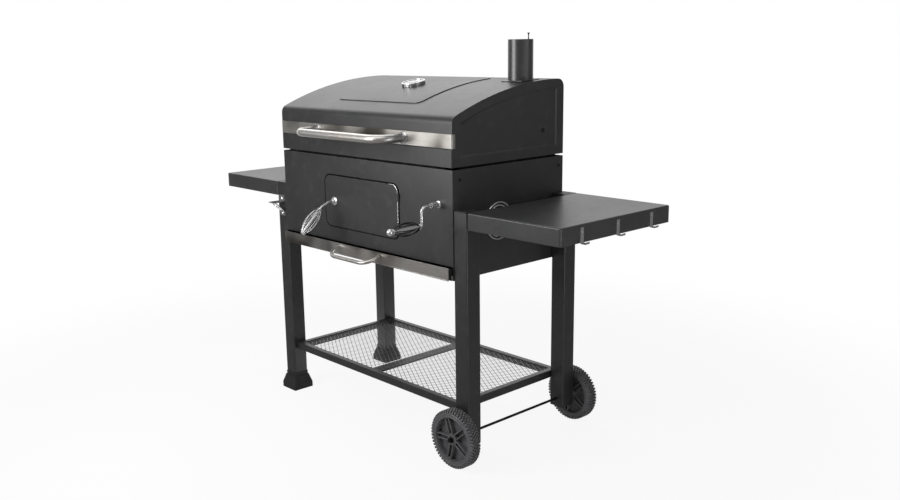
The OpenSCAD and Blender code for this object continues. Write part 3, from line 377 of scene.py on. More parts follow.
@dataclass(frozen=True)
class DialPaint(Finish):
    """Screen paint on a dial or needle."""

    tone: Tone = (0.8, 0.8, 0.78)

    def shader(self, bench: NodeBench) -> Wire:
        """Even satin paint with faint mottling."""
        mottle = bench.noise(bench.place(), 160.0, 3.0)
        darker = tinted(self.tone, 0.88)
        colour = bench.blend(mottle.ramp(0.4, 0.7) * 0.5, self.tone, darker)
        return bench.principled({"Base Color": colour, "Roughness": mottle * 0.1 + 0.35})


@dataclass(frozen=True)
class ClearGlass(Finish):
    """Thin clear window glass."""

    def shader(self, bench: NodeBench) -> Wire:
        """Clear glass that stays bright from either side."""
        smear = bench.noise(bench.place(), 60.0, 3.0)
        values = {
            "Base Color": (1.0, 1.0, 1.0, 1.0),
            "Roughness": smear * 0.03 + 0.01,
            "Transmission Weight": 1.0,
            "IOR": 1.12,
        }
        return bench.principled(values)


COAT = PowderCoat("black_powder_coat")
LID_COAT = PowderCoat("lid_powder_coat", tone=(0.014, 0.0142, 0.015), roughness=0.44, shine=0.8)
TABLE_COAT = PowderCoat("table_powder_coat", tone=(0.032, 0.0323, 0.034), roughness=0.36, shine=0.62)
# A paler copy of the black coat on the chimney alone, so that it reads brighter: painted light.
CHIMNEY_LIGHTENED_COAT = PowderCoat("chimney_powder_coat", tone=(0.03, 0.03, 0.0315), roughness=0.36)
# Both steels carry broad dark patches that paint dark reflections, deep on the trim and faint on the tubes:
# painted reflection.
STEEL = BrushedSteel("satin_steel", tone=(0.76, 0.73, 0.69), roughness=0.33, patch=0.85)
TUBE_STEEL = BrushedSteel("brushed_tube", tone=(0.74, 0.725, 0.7), roughness=0.38, patch=0.15)
CHROME = BrightMetal("chrome_plate")
ZINC = BrightMetal("zinc_plate", tone=(0.52, 0.52, 0.53), roughness=0.28)
CAGE_WIRE = BrightMetal("cage_wire", tone=(0.8, 0.8, 0.81), roughness=0.22)
PALE_TUBE = BrightMetal("pale_tube", tone=(0.85, 0.85, 0.86), roughness=0.26, metal=0.85)
# A black copy of the cage wire for the crank's grip, which is the same plated wire as the latch's: painted
# shade.
SHADED_CAGE_WIRE = BrightMetal("dark_wire", tone=(0.05, 0.05, 0.052), roughness=0.2)
BLACK_ZINC = BrightMetal("black_zinc", tone=(0.04, 0.04, 0.042), roughness=0.35)
# Near-black coat with almost no reflection for the rim frame, the lid stops and the sheet round the door, so
# that the gaps between lid, box and door read black: painted shade.
GAP_SHADE_COAT = PowderCoat("matt_coat", tone=(0.003, 0.003, 0.0032), roughness=0.8, shine=0.08)
PLASTIC = MouldedPlastic("foot_plastic")
SHELF_WIRE = BrightMetal("shelf_wire", tone=(0.16, 0.16, 0.165), roughness=0.34)
TYRE_PLASTIC = MouldedPlastic("tyre_plastic", tone=(0.105, 0.105, 0.11), roughness=0.38)
CAST_IRON = RoughIron("grate_iron")
ENAMEL = RoughIron("pan_enamel", tone=(0.022, 0.022, 0.023), roughness=0.45, sand=0.00008)
DIAL_WHITE = DialPaint("dial_white")
DIAL_BLACK = DialPaint("dial_black", tone=(0.012, 0.012, 0.012))
NEEDLE_RED = DialPaint("needle_red", tone=(0.5, 0.03, 0.02))
GLASS = ClearGlass("dial_glass")


# ---------------------------------------------------------------- modelling bench


def anywhere(_at: Vector) -> bool:
    """The test that every place passes."""
    return True


class Piece:
    """A mesh piece worked with Blender's own operators; its object stays at the origin."""

    def __init__(self, obj: bpy.types.Object, name: str) -> None:
        """Names the object and puts its place into its mesh.

        Args:
            obj: the new mesh object.
            name: the piece's name.
        """
        self.obj = obj
        obj.name = name
        obj.data.name = name
        self.only()
        bpy.ops.object.transform_apply(location=True, rotation=True, scale=True)

    # -- starts

    @staticmethod
    def clear() -> None:
        """Leaves edit mode and deselects every object."""
        if bpy.context.object is not None and bpy.context.object.mode == "EDIT":
            bpy.ops.object.mode_set(mode="OBJECT")
        for obj in bpy.context.selected_objects:
            obj.select_set(False)

    @classmethod
    def block(cls, name: str, low: Point, high: Point) -> "Piece":
        """A block between two corners."""
        cls.clear()
        low, high = Vector(low), Vector(high)
        bpy.ops.mesh.primitive_cube_add(size=1, location=(low + high) / 2, scale=high - low)
        return cls(bpy.context.object, name)

    @classmethod
    def disc(cls, name: str, radius: float, at: Point, facing: Point, sides: int) -> "Piece":
        """A filled ring that faces a direction."""
        cls.clear()
        turn = Vector(facing).to_track_quat("Z", "Y").to_euler()
        bpy.ops.mesh.primitive_circle_add(
            vertices=sides, radius=radius, fill_type="NGON", location=at, rotation=turn
        )
        return cls(bpy.context.object, name)

    @classmethod
    def rod(
        cls, name: str, radius: float, at: Point, facing: Vector, length: float, sides: int = 32
    ) -> "Piece":
        """A closed cylinder from a place along a direction."""
        return cls.disc(name, radius, at, facing, sides).all().extrude(facing * length).outward()

    @classmethod
    def point(cls, name: str, at: Point) -> "Piece":
        """A single vertex, from which an outline is traced."""
        cls.clear()
        bpy.ops.mesh.primitive_plane_add(size=0.01, location=at)
        made = cls(bpy.context.object, name)
        made.all()
        bpy.ops.mesh.merge(type="CENTER")
        return made

    @classmethod
    def from_node(cls, name: str, node: str) -> "Piece":
        """A merged copy of a CAD node's mesh, with its flat faces made whole."""
        cls.clear()
        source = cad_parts[node]
        obj = bpy.data.objects.new(name, source.data.copy())
        bpy.context.scene.collection.objects.link(obj)
        bpy.context.view_layer.objects.active = obj
        made = cls(obj, name)
        made.obj.data.materials.clear()
        made.all()
        bpy.ops.mesh.remove_doubles(threshold=WELD)
        bpy.ops.mesh.customdata_custom_splitnormals_clear()
        bpy.ops.mesh.dissolve_limited(angle_limit=math.radians(0.5))
        return made

    # -- modes and selection

    def only(self) -> None:
        """Makes this the one selected and active object, in object mode."""
        self.clear()
        self.obj.select_set(True)
        bpy.context.view_layer.objects.active = self.obj

    def _edit(self) -> bmesh.types.BMesh:
        """Opens the piece in edit mode and returns its edit mesh."""
        if self.obj.mode != "EDIT":
            self.only()
            bpy.ops.object.mode_set(mode="EDIT")
        return bmesh.from_edit_mesh(self.obj.data)

    def _object(self) -> None:
        """Leaves edit mode."""
        if self.obj.mode == "EDIT":
            bpy.ops.object.mode_set(mode="OBJECT")

    def all(self) -> "Piece":
        """Selects everything."""
        self._edit()
        bpy.ops.mesh.select_mode(type="VERT")
        bpy.ops.mesh.select_all(action="SELECT")
        return self

    def _select(self, kind: str, chosen: Callable[[bmesh.types.BMesh], list]) -> "Piece":
        """Selects the chosen elements of one kind."""
        self._edit()
        bpy.ops.mesh.select_mode(type=kind)
        bpy.ops.mesh.select_all(action="DESELECT")
        mesh = bmesh.from_edit_mesh(self.obj.data)
        for element in chosen(mesh):
            element.select_set(True)
        mesh.select_flush_mode()
        bmesh.update_edit_mesh(self.obj.data)
        return self

    def faces(self, facing: Point, where: Test = anywhere) -> "Piece":
        """Selects the faces that face a direction and whose middle passes a test."""
        way = Vector(facing).normalized()
        return self._select(
            "FACE",
            lambda mesh: [
                f for f in mesh.faces if f.normal.dot(way) > FACING and where(f.calc_center_median())
            ],
        )

    def edges(self, where: Test = anywhere, along: Point | None = None) -> "Piece":
        """Selects the edges whose middle passes a test and which run along a direction, if one is given."""

        def chosen(mesh: bmesh.types.BMesh) -> list:
            found = []
            for edge in mesh.edges:
                run = (edge.verts[1].co - edge.verts[0].co).normalized()
                if along is None or abs(run.dot(Vector(along))) > PARALLEL:
                    if where((edge.verts[0].co + edge.verts[1].co) / 2):
                        found.append(edge)
            return found

        return self._select("EDGE", chosen)

    def corners(self, where: Test) -> "Piece":
        """Selects the vertices that pass a test."""
        return self._select("VERT", lambda mesh: [v for v in mesh.verts if where(v.co)])

    # -- operators on the selection

    def extrude(self, by: Point) -> "Piece":
        """Extrudes what is selected by a step."""
        bpy.ops.mesh.extrude_region_move(TRANSFORM_OT_translate={"value": tuple(by)})
        return self

    def trace(self, points: Sequence[Point]) -> "Piece":
        """Draws on from the selected vertex through more points."""
        for point in points:
            here = next(v.co.copy() for v in self._edit().verts if v.select)
            self.extrude(Vector(point) - here)
        return self

    def spin(self, degrees: float, centre: Point, axis: Point, steps: int) -> "Piece":
        """Spins what is selected about an axis, right-handed, leaving its last copy selected."""
        bpy.ops.mesh.spin(steps=steps, angle=-math.radians(degrees), center=centre, axis=axis)
        return self

    def lathe(self, centre: Point, axis: Point, steps: int) -> "Piece":
        """Turns the whole outline once round an axis and closes it."""
        self.all()
        self.spin(360, centre, axis, steps)
        return self.merge().outward()

    def bevel(self, width: float, segments: int) -> "Piece":
        """Bevels the selected edges."""
        bpy.ops.mesh.bevel(offset=width, segments=segments, affect="EDGES", clamp_overlap=True)
        return self

    def inset(self, width: float, depth: float = 0.0) -> "Piece":
        """Insets the selected faces."""
        bpy.ops.mesh.inset(thickness=width, depth=depth, use_boundary=True)
        return self

    def move(self, by: Point) -> "Piece":
        """Moves what is selected."""
        bpy.ops.transform.translate(value=tuple(by))
        return self

    def turn(self, degrees: float, axis: str, centre: Point) -> "Piece":
        """Turns what is selected right-handed about X, Y or Z."""
        bpy.ops.transform.rotate(
            value=-math.radians(degrees), orient_axis=axis, center_override=tuple(centre)
        )
        return self

    def scale(self, by: Point, centre: Point) -> "Piece":
        """Scales what is selected about a point."""
        bpy.ops.transform.resize(value=tuple(by), center_override=tuple(centre))
        return self

    def open(self, facing: Point) -> "Piece":
        """Removes the faces that face a direction."""
        self.faces(facing)
        bpy.ops.mesh.delete(type="FACE")
        return self

    def fill(self) -> "Piece":
        """Makes a face from the selected loop."""
        bpy.ops.mesh.edge_face_add()
        return self

    def cap(self) -> "Piece":
        """Closes every open end."""
        self.all()
        bpy.ops.mesh.fill_holes(sides=0)
        return self.outward()

    def merge(self) -> "Piece":
        """Merges doubled vertices."""
        self.all()
        bpy.ops.mesh.remove_doubles(threshold=WELD)
        return self

    def outward(self) -> "Piece":
        """Makes every face point outwards."""
        self.all()
        bpy.ops.mesh.normals_make_consistent(inside=False)
        return self

    # -- modifiers and copies

    def modify(self, kind: str, **settings: object) -> "Piece":
        """Adds a modifier, sets it and applies it."""
        self.only()
        bpy.ops.object.modifier_add(type=kind)
        made = self.obj.modifiers[-1]
        for name, value in settings.items():
            setattr(made, name, value)
        bpy.ops.object.modifier_apply(modifier=made.name)
        return self

    def soften(self, width: float, segments: int = 2, angle: float = 32.0) -> "Piece":
        """Rounds every edge sharper than an angle."""
        return self.modify(
            "BEVEL",
            width=width,
            segments=segments,
            limit_method="ANGLE",
            angle_limit=math.radians(angle),
        )

    def thicken(self, thickness: float, offset: float = -1.0) -> "Piece":
        """Gives an open sheet its wall: inwards at -1, to both sides at 0."""
        return self.modify("SOLIDIFY", thickness=thickness, offset=offset)

    def cut(self, *tools: "Piece", keep: str = "DIFFERENCE") -> "Piece":
        """Cuts with, or keeps what is shared with, other pieces and removes them."""
        for tool in tools:
            tool._object()
            self.modify("BOOLEAN", operation=keep, object=tool.obj, solver="EXACT")
            bpy.data.objects.remove(tool.obj)
        return self

    def twin(self, name: str) -> "Piece":
        """A copy with its own mesh."""
        self.only()
        bpy.ops.object.duplicate()
        return Piece(bpy.context.object, name)

    def around(self, count: int, axis: str, centre: Point = (0, 0, 0)) -> list["Piece"]:
        """Returns the piece and its copies, turned evenly about X, Y or Z through a centre."""
        copies = [
            self.twin(f"{self.obj.name}_{n}").all().turn(n * 360 / count, axis, centre)
            for n in range(1, count)
        ]
        return [self, *copies]

    def mirrored(self, name: str, axis: int, middle: float) -> "Piece":
        """A mirrored copy across the plane where one coordinate is middle."""
        made = self.twin(name).all()
        factors, centre = [1.0, 1.0, 1.0], [0.0, 0.0, 0.0]
        factors[axis], centre[axis] = -1.0, middle
        return made.scale(factors, centre).outward()

    def stand(self, at: Point, facing: Point) -> "Piece":
        """Stands a piece that was modelled along +Z from the origin at a place.

        Args:
            at: where its origin goes.
            facing: where its +Z points.

        Returns:
            The piece.
        """
        turned = Vector(facing).to_track_quat("Z", "Y").to_matrix().to_4x4()
        self.only()
        self.obj.matrix_world = Matrix.Translation(at) @ turned
        bpy.ops.object.transform_apply(location=True, rotation=True, scale=True)
        return self

    def join(self, *others: "Piece") -> "Piece":
        """Takes other pieces into this one."""
        self.clear()
        for other in others:
            other.obj.select_set(True)
        self.obj.select_set(True)
        bpy.context.view_layer.objects.active = self.obj
        bpy.ops.object.join()
        return self

    @staticmethod
    def gather(name: str, pieces: Sequence["Piece"]) -> "Piece":
        """Joins pieces into the first one, under a name."""
        pieces[0].join(*pieces[1:]).obj.name = name
        return pieces[0]

    def dress(self, finish: Finish, smooth: float = 40.0) -> "Piece":
        """Gives the piece one finish and smooth shading up to an angle, led by its larger faces."""
        self.only()
        self.obj.data.materials.clear()
        self.obj.data.materials.append(finish.material())
        bpy.ops.object.shade_smooth_by_angle(angle=math.radians(smooth))
        return self.modify("WEIGHTED_NORMAL", keep_sharp=True, weight=90)

    def fit(self, body: str, *nodes: str, slot: str | None = None) -> "Piece":
        """Rides the piece on its body in place of CAD nodes and reports it."""
        self.only()
        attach(self.obj, body)
        if nodes:
            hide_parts(*nodes)
        LOG.info("%s: %d faces on %s", self.obj.name, len(self.obj.data.polygons), body)
        return self


@dataclass
class Run:
    """A bent rod or tube, drawn from a ring by straights and bends."""

    name: str
    start: Vector
    heading: Vector
    radius: float
    sides: int = 20
    piece: Piece = field(init=False)

    def __post_init__(self) -> None:
        """Draws the first ring."""
        self.start, self.heading = Vector(self.start), Vector(self.heading).normalized()
        self.piece = Piece.disc(self.name, self.radius, self.start, self.heading, self.sides)
        self.piece.all()
        bpy.ops.mesh.delete(type="ONLY_FACE")
        self.piece.all()

    def straight(self, length: float) -> "Run":
        """Goes straight on."""
        self.piece.extrude(self.heading * length)
        self.start = self.start + self.heading * length
        return self

    def bend(self, degrees: float, towards: Point, radius: float, steps: int) -> "Run":
        """Bends towards a direction by an angle."""
        side = Vector(towards)
        side = (side - side.dot(self.heading) * self.heading).normalized()
        axis = self.heading.cross(side)
        centre = self.start + side * radius
        self.piece.spin(degrees, centre, axis, steps)
        turned = Matrix.Rotation(math.radians(degrees), 3, axis)
        self.start = centre + turned @ (self.start - centre)
        self.heading = turned @ self.heading
        return self

    def end(self) -> Piece:
        """Closes both ends."""
        return self.piece.cap()


def bent_rod(
    name: str, corners: Sequence[Point], radius: float, bends: Sequence[float], sides: int = 20
) -> Piece:
    """A rod that runs through corners, bent round each.

    Args:
        name: the piece's name.
        corners: its ends and the corners between them.
        radius: the rod's radius.
        bends: the bend's radius at each corner.
        sides: the sides of its section.

    Returns:
        The closed rod.
    """
    spots = [Vector(corner) for corner in corners]
    run = Run(name, spots[0], spots[1] - spots[0], radius, sides)
    used = 0.0
    for before, corner, after, bend in zip(spots, spots[1:], spots[2:], bends):
        angle = (corner - before).angle(after - corner)
        tangent = bend * math.tan(angle / 2)
        run.straight((corner - before).length - used - tangent)
        run.bend(math.degrees(angle), after - corner, bend, 10)
        used = tangent
    return run.straight((spots[-1] - spots[-2]).length - used).end()


# ---------------------------------------------------------------- places on the cart


@dataclass(frozen=True)
class Span:
    """A CAD node's box at rest."""

    low: Vector
    high: Vector

    @classmethod
    def of(cls, node: str) -> "Span":
        """Reads a node's box from the frame."""
        return cls(*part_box(node))

    @property
    def middle(self) -> Vector:
        """The box's middle."""
        return (self.low + self.high) / 2

    @property
    def size(self) -> Vector:
        """The box's size."""
        return self.high - self.low


@dataclass(frozen=True)
class Layout:
    """The firebox's datum planes, from which everything is placed."""

    middle_x: float
    front: float
    back: float
    lid_edge: float
    crown: float

    @classmethod
    def read(cls) -> "Layout":
        """Reads the planes from the firebox's and lid's boxes."""
        right, left, lid = Span.of("firebox_right"), Span.of("firebox_left"), Span.of("lid_side_right")
        return cls(
            middle_x=(right.high.x + left.low.x) / 2,
            front=right.low.y,
            back=right.high.y,
            lid_edge=lid.low.z,
            crown=lid.high.z,
        )


PLACE = Layout.read()
LEGS = ("leg_front_left", "leg_rear_left", "leg_front_right", "leg_rear_right")


def near(value: float, target: float, slack: float = 0.0005) -> bool:
    """Tells whether two lengths are the same within a slack."""
    return abs(value - target) < slack


def dress_node(finish: Finish, *nodes: str) -> None:
    """Gives CAD nodes that stay as they are a finish."""
    for node in nodes:
        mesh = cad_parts[node].data
        mesh.materials.clear()
        mesh.materials.append(finish.material())


def softened(node: str, body: str, finish: Finish, width: float) -> Piece:
    """A copy of a CAD node whose edges are rounded.

    Args:
        node: the node that it stands for.
        body: the body that it rides on.
        finish: its finish.
        width: how wide the rounding is.

    Returns:
        The fitted piece.
    """
    made = Piece.from_node(node + "_finished", node).soften(width)
    return made.dress(finish).fit(body, node)


# ---------------------------------------------------------------- fasteners


@dataclass(frozen=True)
class DomeScrew:
    """A dome-headed screw with a cross recess and a washer."""

    head_r: float = 0.003
    head_h: float = 0.0018
    washer_r: float = 0.0036
    washer_t: float = 0.0008
    recess: float = 0.0009

    def pattern(self) -> Piece:
        """Models one screw at the origin, its head along +Z."""
        head = Piece.point("screw_pattern", (0, 0, self.head_h))
        head.trace([(self.head_r * 0.45, 0, self.head_h)])
        rise = self.head_h - self.washer_t
        dome = [
            (self.head_r * f, 0, self.washer_t + rise * h)
            for f, h in ((0.75, 0.86), (0.93, 0.55), (1.0, 0.15), (1.0, 0.0))
        ]
        head.trace(dome).trace([(self.washer_r, 0, self.washer_t), (self.washer_r, 0, 0), (0, 0, 0)])
        head.lathe((0, 0, 0), Z_AXIS, 20)
        arm = self.head_r * 0.55
        for x, y in ((arm, self.recess / 2), (self.recess / 2, arm)):
            slot = Piece.block("recess", (-x, -y, self.head_h * 0.55), (x, y, self.head_h * 2))
            head.cut(slot)
        return head

    def row(self, name: str, seats: Sequence[tuple[Point, Point]], finish: Finish) -> Piece:
        """Sets one screw at each (place, direction) and joins them."""
        pattern = self.pattern()
        made = [pattern.twin(f"{name}_{n}").stand(*seat) for n, seat in enumerate(seats)]
        bpy.data.objects.remove(pattern.obj)
        return Piece.gather(name, made).dress(finish)


# ---------------------------------------------------------------- sheet forms


@dataclass(frozen=True)
class FoldedTray:
    """A sheet pressed into an upside-down tray with round folds."""

    low: Vector
    high: Vector
    sheet: float = 0.0015
    fold: float = 0.0045
    corner: float = 0.006

    def build(self, name: str) -> Piece:
        """Models the tray from a block without its underside."""
        tray = Piece.block(name, self.low, self.high)
        tray.open((0, 0, -1))
        tray.edges(lambda at: self.low.z < at.z < self.high.z, along=Z_AXIS).bevel(self.corner, 4)
        tray.edges(lambda at: near(at.z, self.high.z)).bevel(self.fold, 4)
        tray.outward().thicken(self.sheet)
        return tray.soften(0.0004, 1)


@dataclass(frozen=True)
class SquareTube:
    """A square steel tube with round corners."""

    low: Vector
    high: Vector
    wall: float = 0.0015
    corner: float = 0.004

    def build(self, name: str) -> Piece:
        """Models the tube from a block without its ends."""
        tube = Piece.block(name, self.low, self.high)
        tube.open((0, 0, 1)).open((0, 0, -1))
        tube.edges(along=Z_AXIS).bevel(self.corner, 4)
        return tube.outward().thicken(self.wall)


# ---------------------------------------------------------------- legs, feet and tables


@dataclass
class Stand:
    """The four legs with their feet, plugs and axle."""

    foot_flare: float = 0.0105
    foot_base: float = 0.016
    foot_round: float = 0.003
    collar_h: float = 0.012
    collar_set: float = 0.0016
    collar_step: float = 0.0005
    collar_flare: float = 1.03
    collar_wall: float = 0.0045
    socket_share: float = 0.5
    plug_round: float = 0.004
    plug_drop: float = 0.003

    def build(self) -> None:
        """Builds and fits every piece of the stand."""
        self.legs()
        self.feet()
        self.plugs()
        self.axle()

    def legs(self) -> None:
        """Square tubes."""
        for node in LEGS:
            span = Span.of(node)
            tube = SquareTube(span.low, span.high).build(node + "_tube")
            tube.dress(COAT).fit("cart", node, slot="black_steel")

    def feet(self) -> None:
        """Flared plastic feet under the left legs."""
        span = Span.of("feet")
        width = span.size.x
        made = [
            self.foot(f"foot_{n}", Vector((span.low.x, y, 0)), width, span.high.z)
            for n, y in enumerate((span.low.y, span.high.y - width))
        ]
        Piece.gather("flared_feet", made).dress(PLASTIC).fit("cart", "feet")

    def foot(self, name: str, corner: Vector, width: float, height: float) -> Piece:
        """One foot: a base, a flare and a collar round the leg's socket.

        Args:
            name: the piece's name.
            corner: its lowest corner.
            width: its width on the floor.
            height: its height.

        Returns:
            The foot.
        """
        middle = corner + Vector((width / 2, width / 2, 0))
        foot = Piece.block(name, corner, corner + Vector((width, width, self.foot_base)))
        foot.faces((0, 0, 1)).extrude((0, 0, height - self.collar_h - self.foot_base))
        narrow = (width - 2 * self.foot_flare) / width
        foot.scale((narrow, narrow, 1), middle)
        foot.inset(self.collar_set).extrude((0, 0, self.collar_step))
        flare = (self.collar_flare, self.collar_flare, 1)
        foot.extrude((0, 0, self.collar_h - self.collar_step)).scale(flare, middle)
        foot.inset(self.collar_wall).extrude((0, 0, -height * self.socket_share))
        foot.edges(along=Z_AXIS).bevel(self.foot_round, 3)
        return foot.outward().soften(0.0008, 2)

    def plugs(self) -> None:
        """Domed caps in the tubes' ends."""
        made = []
        span = Span.of("leg_plugs")
        for node in LEGS:
            leg = Span.of(node)
            made.append(self.plug(node, leg, leg.high.z, span.high.z))
            if leg.low.z > 0.03:
                made.append(self.plug(node + "_low", leg, leg.low.z, leg.low.z - self.plug_drop))
        Piece.gather("tube_plugs", made).dress(PLASTIC).fit("cart", "leg_plugs")

    def plug(self, name: str, leg: Span, seat: float, face: float) -> Piece:
        """One cap from its seat on the tube to its face."""
        low = Vector((leg.low.x, leg.low.y, min(seat, face)))
        high = Vector((leg.high.x, leg.high.y, max(seat, face)))
        cap = Piece.block(name + "_plug", low, high)
        cap.edges(along=Z_AXIS).bevel(self.plug_round, 4)
        cap.faces((0, 0, face - seat)).inset(self.collar_set)
        return cap.soften(0.0008, 2)

    def axle(self) -> None:
        """The axle, its cap nuts and its spacers."""
        softened("axle", "cart", BLACK_ZINC, 0.0006)
        softened("axle_nuts", "cart", BLACK_ZINC, 0.0005)


@dataclass
class SideTables:
    """The two folding-edge tables with the hooks and the bottle opener."""

    hook_w: float = 0.014
    hook_t: float = 0.002
    hook_bend: float = 0.004
    lip: float = 0.002
    screw_drop: float = 0.012

    def build(self) -> None:
        """Builds and fits the tables and what hangs on them."""
        for node in ("table_left", "table_right"):
            span = Span.of(node)
            FoldedTray(span.low, span.high).build(node + "_top").dress(TABLE_COAT).fit("cart", node)
        self.hooks()
        softened("bottle_opener", "cart", CHROME, 0.0008)

    def hooks(self) -> None:
        """Strap hooks: one is bent from a strip and copied."""
        span = Span.of("table_hooks")
        table = Span.of("table_right")
        pitch = (span.size.y - self.hook_w) / 2
        x0, top = table.high.x, span.high.z
        hook = self.hook(Vector((x0, span.low.y, top)), span.high.x - x0, top - span.low.z)
        copies = [hook.twin(f"hook_{n}").all().move((0, n * pitch, 0)) for n in (1, 2)]
        Piece.gather("strap_hooks", [hook, *copies]).dress(CHROME).fit("cart", "table_hooks")
        seats = [
            ((x0 + self.hook_t, span.low.y + self.hook_w / 2 + n * pitch, top - self.screw_drop), X_AXIS)
            for n in range(3)
        ]
        DomeScrew().row("hook_screws", seats, CHROME).fit("cart")

    def hook(self, top: Vector, reach: float, drop: float) -> Piece:
        """One hook bent from flat strip.

        Args:
            top: the strip's top corner against the table.
            reach: how far the foot stands out.
            drop: the plate's height.

        Returns:
            The hook.
        """
        bend, half = self.hook_bend, self.hook_t / 2
        start = top + Vector((half, 0, 0))
        strip = Piece.point("hook", start)
        strip.trace([start - Vector((0, 0, drop - bend - half))])
        low = top.z - drop + bend + half
        strip.spin(-90, (start.x + bend, start.y, low), Y_AXIS, 5)
        out = top.x + reach - half - bend
        strip.trace([(out, start.y, low - bend)])
        strip.spin(-90, (out, start.y, low), Y_AXIS, 5)
        strip.trace([(out + bend, start.y, low + self.lip)])
        strip.all().extrude((0, self.hook_w, 0))
        strip.outward().thicken(self.hook_t, 0.0)
        return strip.soften(0.0004, 2)


# ---------------------------------------------------------------- shelf


@dataclass
class WireShelf:
    """The lower shelf: a rail frame with an expanded-metal panel."""

    diamond_l: float = 0.0258
    diamond_w: float = 0.0168
    strand_w: float = 0.0021
    strand_t: float = 0.0006

    def build(self) -> None:
        """Builds and fits the frame and the panel."""
        softened("shelf_frame", "cart", COAT, 0.0018)
        self.panel()

    def panel(self) -> None:
        """Two facing zigzag strands, repeated across the shelf."""
        span = Span.of("shelf_mesh")
        cells = round(span.size.x / self.diamond_l)
        rows = round(span.size.y / self.diamond_w)
        step_x, step_y = span.size.x / cells, span.size.y / rows
        start = Vector((span.low.x, span.low.y + self.strand_w * 0.2, span.high.z - self.strand_t))
        strand = Piece.point("expanded_metal", start)
        zigzag = []
        for cell in range(cells):
            zigzag.append(start + Vector(((cell + 0.5) * step_x, step_y / 2, 0)))
            zigzag.append(start + Vector(((cell + 1) * step_x, 0, 0)))
        strand.trace(zigzag).all().extrude((0, 0, self.strand_t))
        strand.thicken(self.strand_w, 0.0)
        middle = (start.x, start.y + step_y / 2, start.z)
        facing = strand.twin("facing_strand").all().scale((1, -1, 1), middle).outward()
        strand.join(facing)
        strand.modify(
            "ARRAY",
            count=rows,
            use_relative_offset=False,
            use_constant_offset=True,
            constant_offset_displace=(0, step_y, 0),
        )
        strand.dress(SHELF_WIRE).fit("cart", "shelf_mesh")


# ---------------------------------------------------------------- firebox


@dataclass
class Firebox:
    """The box of sheet panels with its hinges, grates and screws."""

    edge: float = 0.0006

    def build(self) -> None:
        """Builds and fits every piece of the box."""
        for node in ("firebox_front", "firebox_rear", "firebox_left", "firebox_right"):
            softened(node, "cart", COAT, self.edge)
        # The rim frame seen in the gap under the lid is made near black so that the gap reads as shadow:
        # painted shade.
        softened("rim_frame", "cart", GAP_SHADE_COAT, self.edge)
        softened("hinge_brackets", "cart", COAT, 0.0005)
        softened("lid_hinge_leaves", "lid", COAT, 0.0005)
        softened("body_bolts", "cart", BLACK_ZINC, 0.0004)
        for node in ("grate_left", "grate_right"):
            softened(node, "cart", CAST_IRON, 0.0012)
        dress_node(COAT, "grate_rests", "lift_guides")
        dress_node(ZINC, "lid_hinge_pins")
        dress_node(BLACK_ZINC, "rack_bolts")
        dress_node(GAP_SHADE_COAT, "lid_stops")


# ---------------------------------------------------------------- lid


@dataclass
class LidForm:
    """The lid's outline: an upright front, a crease, a long arc and a round rear corner."""

    front_h: float = 0.140
    crown_set: float = 0.034
    crease_r: float = 0.026
    rear_r: float = 0.026
    sheet: float = 0.0015

    def __post_init__(self) -> None:
        """Works the arc out from the outline's height and depth."""
        self.crown_y = PLACE.back - self.crown_set
        rise = PLACE.crown - PLACE.lid_edge - self.front_h
        run = self.crown_y - PLACE.front
        self.arc_r = (run * run + rise * rise) / (2 * rise)
        self.arc_z = PLACE.crown - self.arc_r
        self.crease_y = PLACE.front + self.crease_r
        reach = self.arc_r - self.crease_r
        self.crease_z = self.arc_z + math.sqrt(reach**2 - (self.crown_y - self.crease_y) ** 2)
        self.crease_lean = math.degrees(math.asin((self.crown_y - self.crease_y) / reach))

    def top(self, y: float) -> float:
        """Returns the height of the lid's skin at a depth."""
        return self.arc_z + math.sqrt(self.arc_r**2 - (self.crown_y - y) ** 2)

    def slope(self, y: float) -> float:
        """Returns the slope of the skin at a depth, in degrees."""
        return math.degrees(math.asin((self.crown_y - y) / self.arc_r))

    def outline(self, piece: Piece, x: float) -> Piece:
        """Draws on from the selected vertex over the lid and down its rear.

        Args:
            piece: a piece whose last vertex is on the front face.
            x: the drawing's plane.

        Returns:
            The piece, with the outline's last vertex selected.
        """
        rear_y, rear_z = PLACE.back - self.rear_r, PLACE.crown - self.rear_r
        back_lean = math.degrees(math.asin((rear_y - self.crown_y) / self.arc_r))
        piece.trace([(x, PLACE.front, self.crease_z)])
        piece.spin(self.crease_lean - 90, (x, self.crease_y, self.crease_z), X_AXIS, 8)
        piece.spin(-self.crease_lean - back_lean, (x, self.crown_y, self.arc_z), X_AXIS, 40)
        piece.trace([(x, rear_y, PLACE.crown)])
        piece.spin(-90, (x, rear_y, rear_z), X_AXIS, 8)
        return piece.trace([(x, PLACE.back, PLACE.lid_edge)])

    def band(
        self, name: str, x0: float, x1: float, lower: float, upper: float, y0: float, y1: float
    ) -> Piece:
        """A curved slab that follows the skin between two offsets from it.

        Args:
            name: the piece's name.
            x0: its left end.
            x1: its right end.
            lower: the lower face's offset from the skin.
            upper: the upper face's offset.
            y0: its front.
            y1: its rear.

        Returns:
            The slab.
        """
        centre = (x0, self.crown_y, self.arc_z)
        lean0 = math.asin((self.crown_y - y0) / self.arc_r)
        lean1 = math.asin((self.crown_y - y1) / self.arc_r)
        r0, r1 = self.arc_r + lower, self.arc_r + upper
        spots = [
            (x0, self.crown_y - r * math.sin(lean), self.arc_z + r * math.cos(lean))
            for r, lean in ((r1, lean0), (r0, lean1))
        ]
        slab = Piece.point(name, spots[0])
        slab.spin(math.degrees(lean1 - lean0), centre, X_AXIS, 48)
        slab.trace([spots[1]]).spin(math.degrees(lean0 - lean1), centre, X_AXIS, 48)
        slab.trace([spots[0]]).merge().all().fill().extrude((x1 - x0, 0, 0))
        return slab.merge().outward()


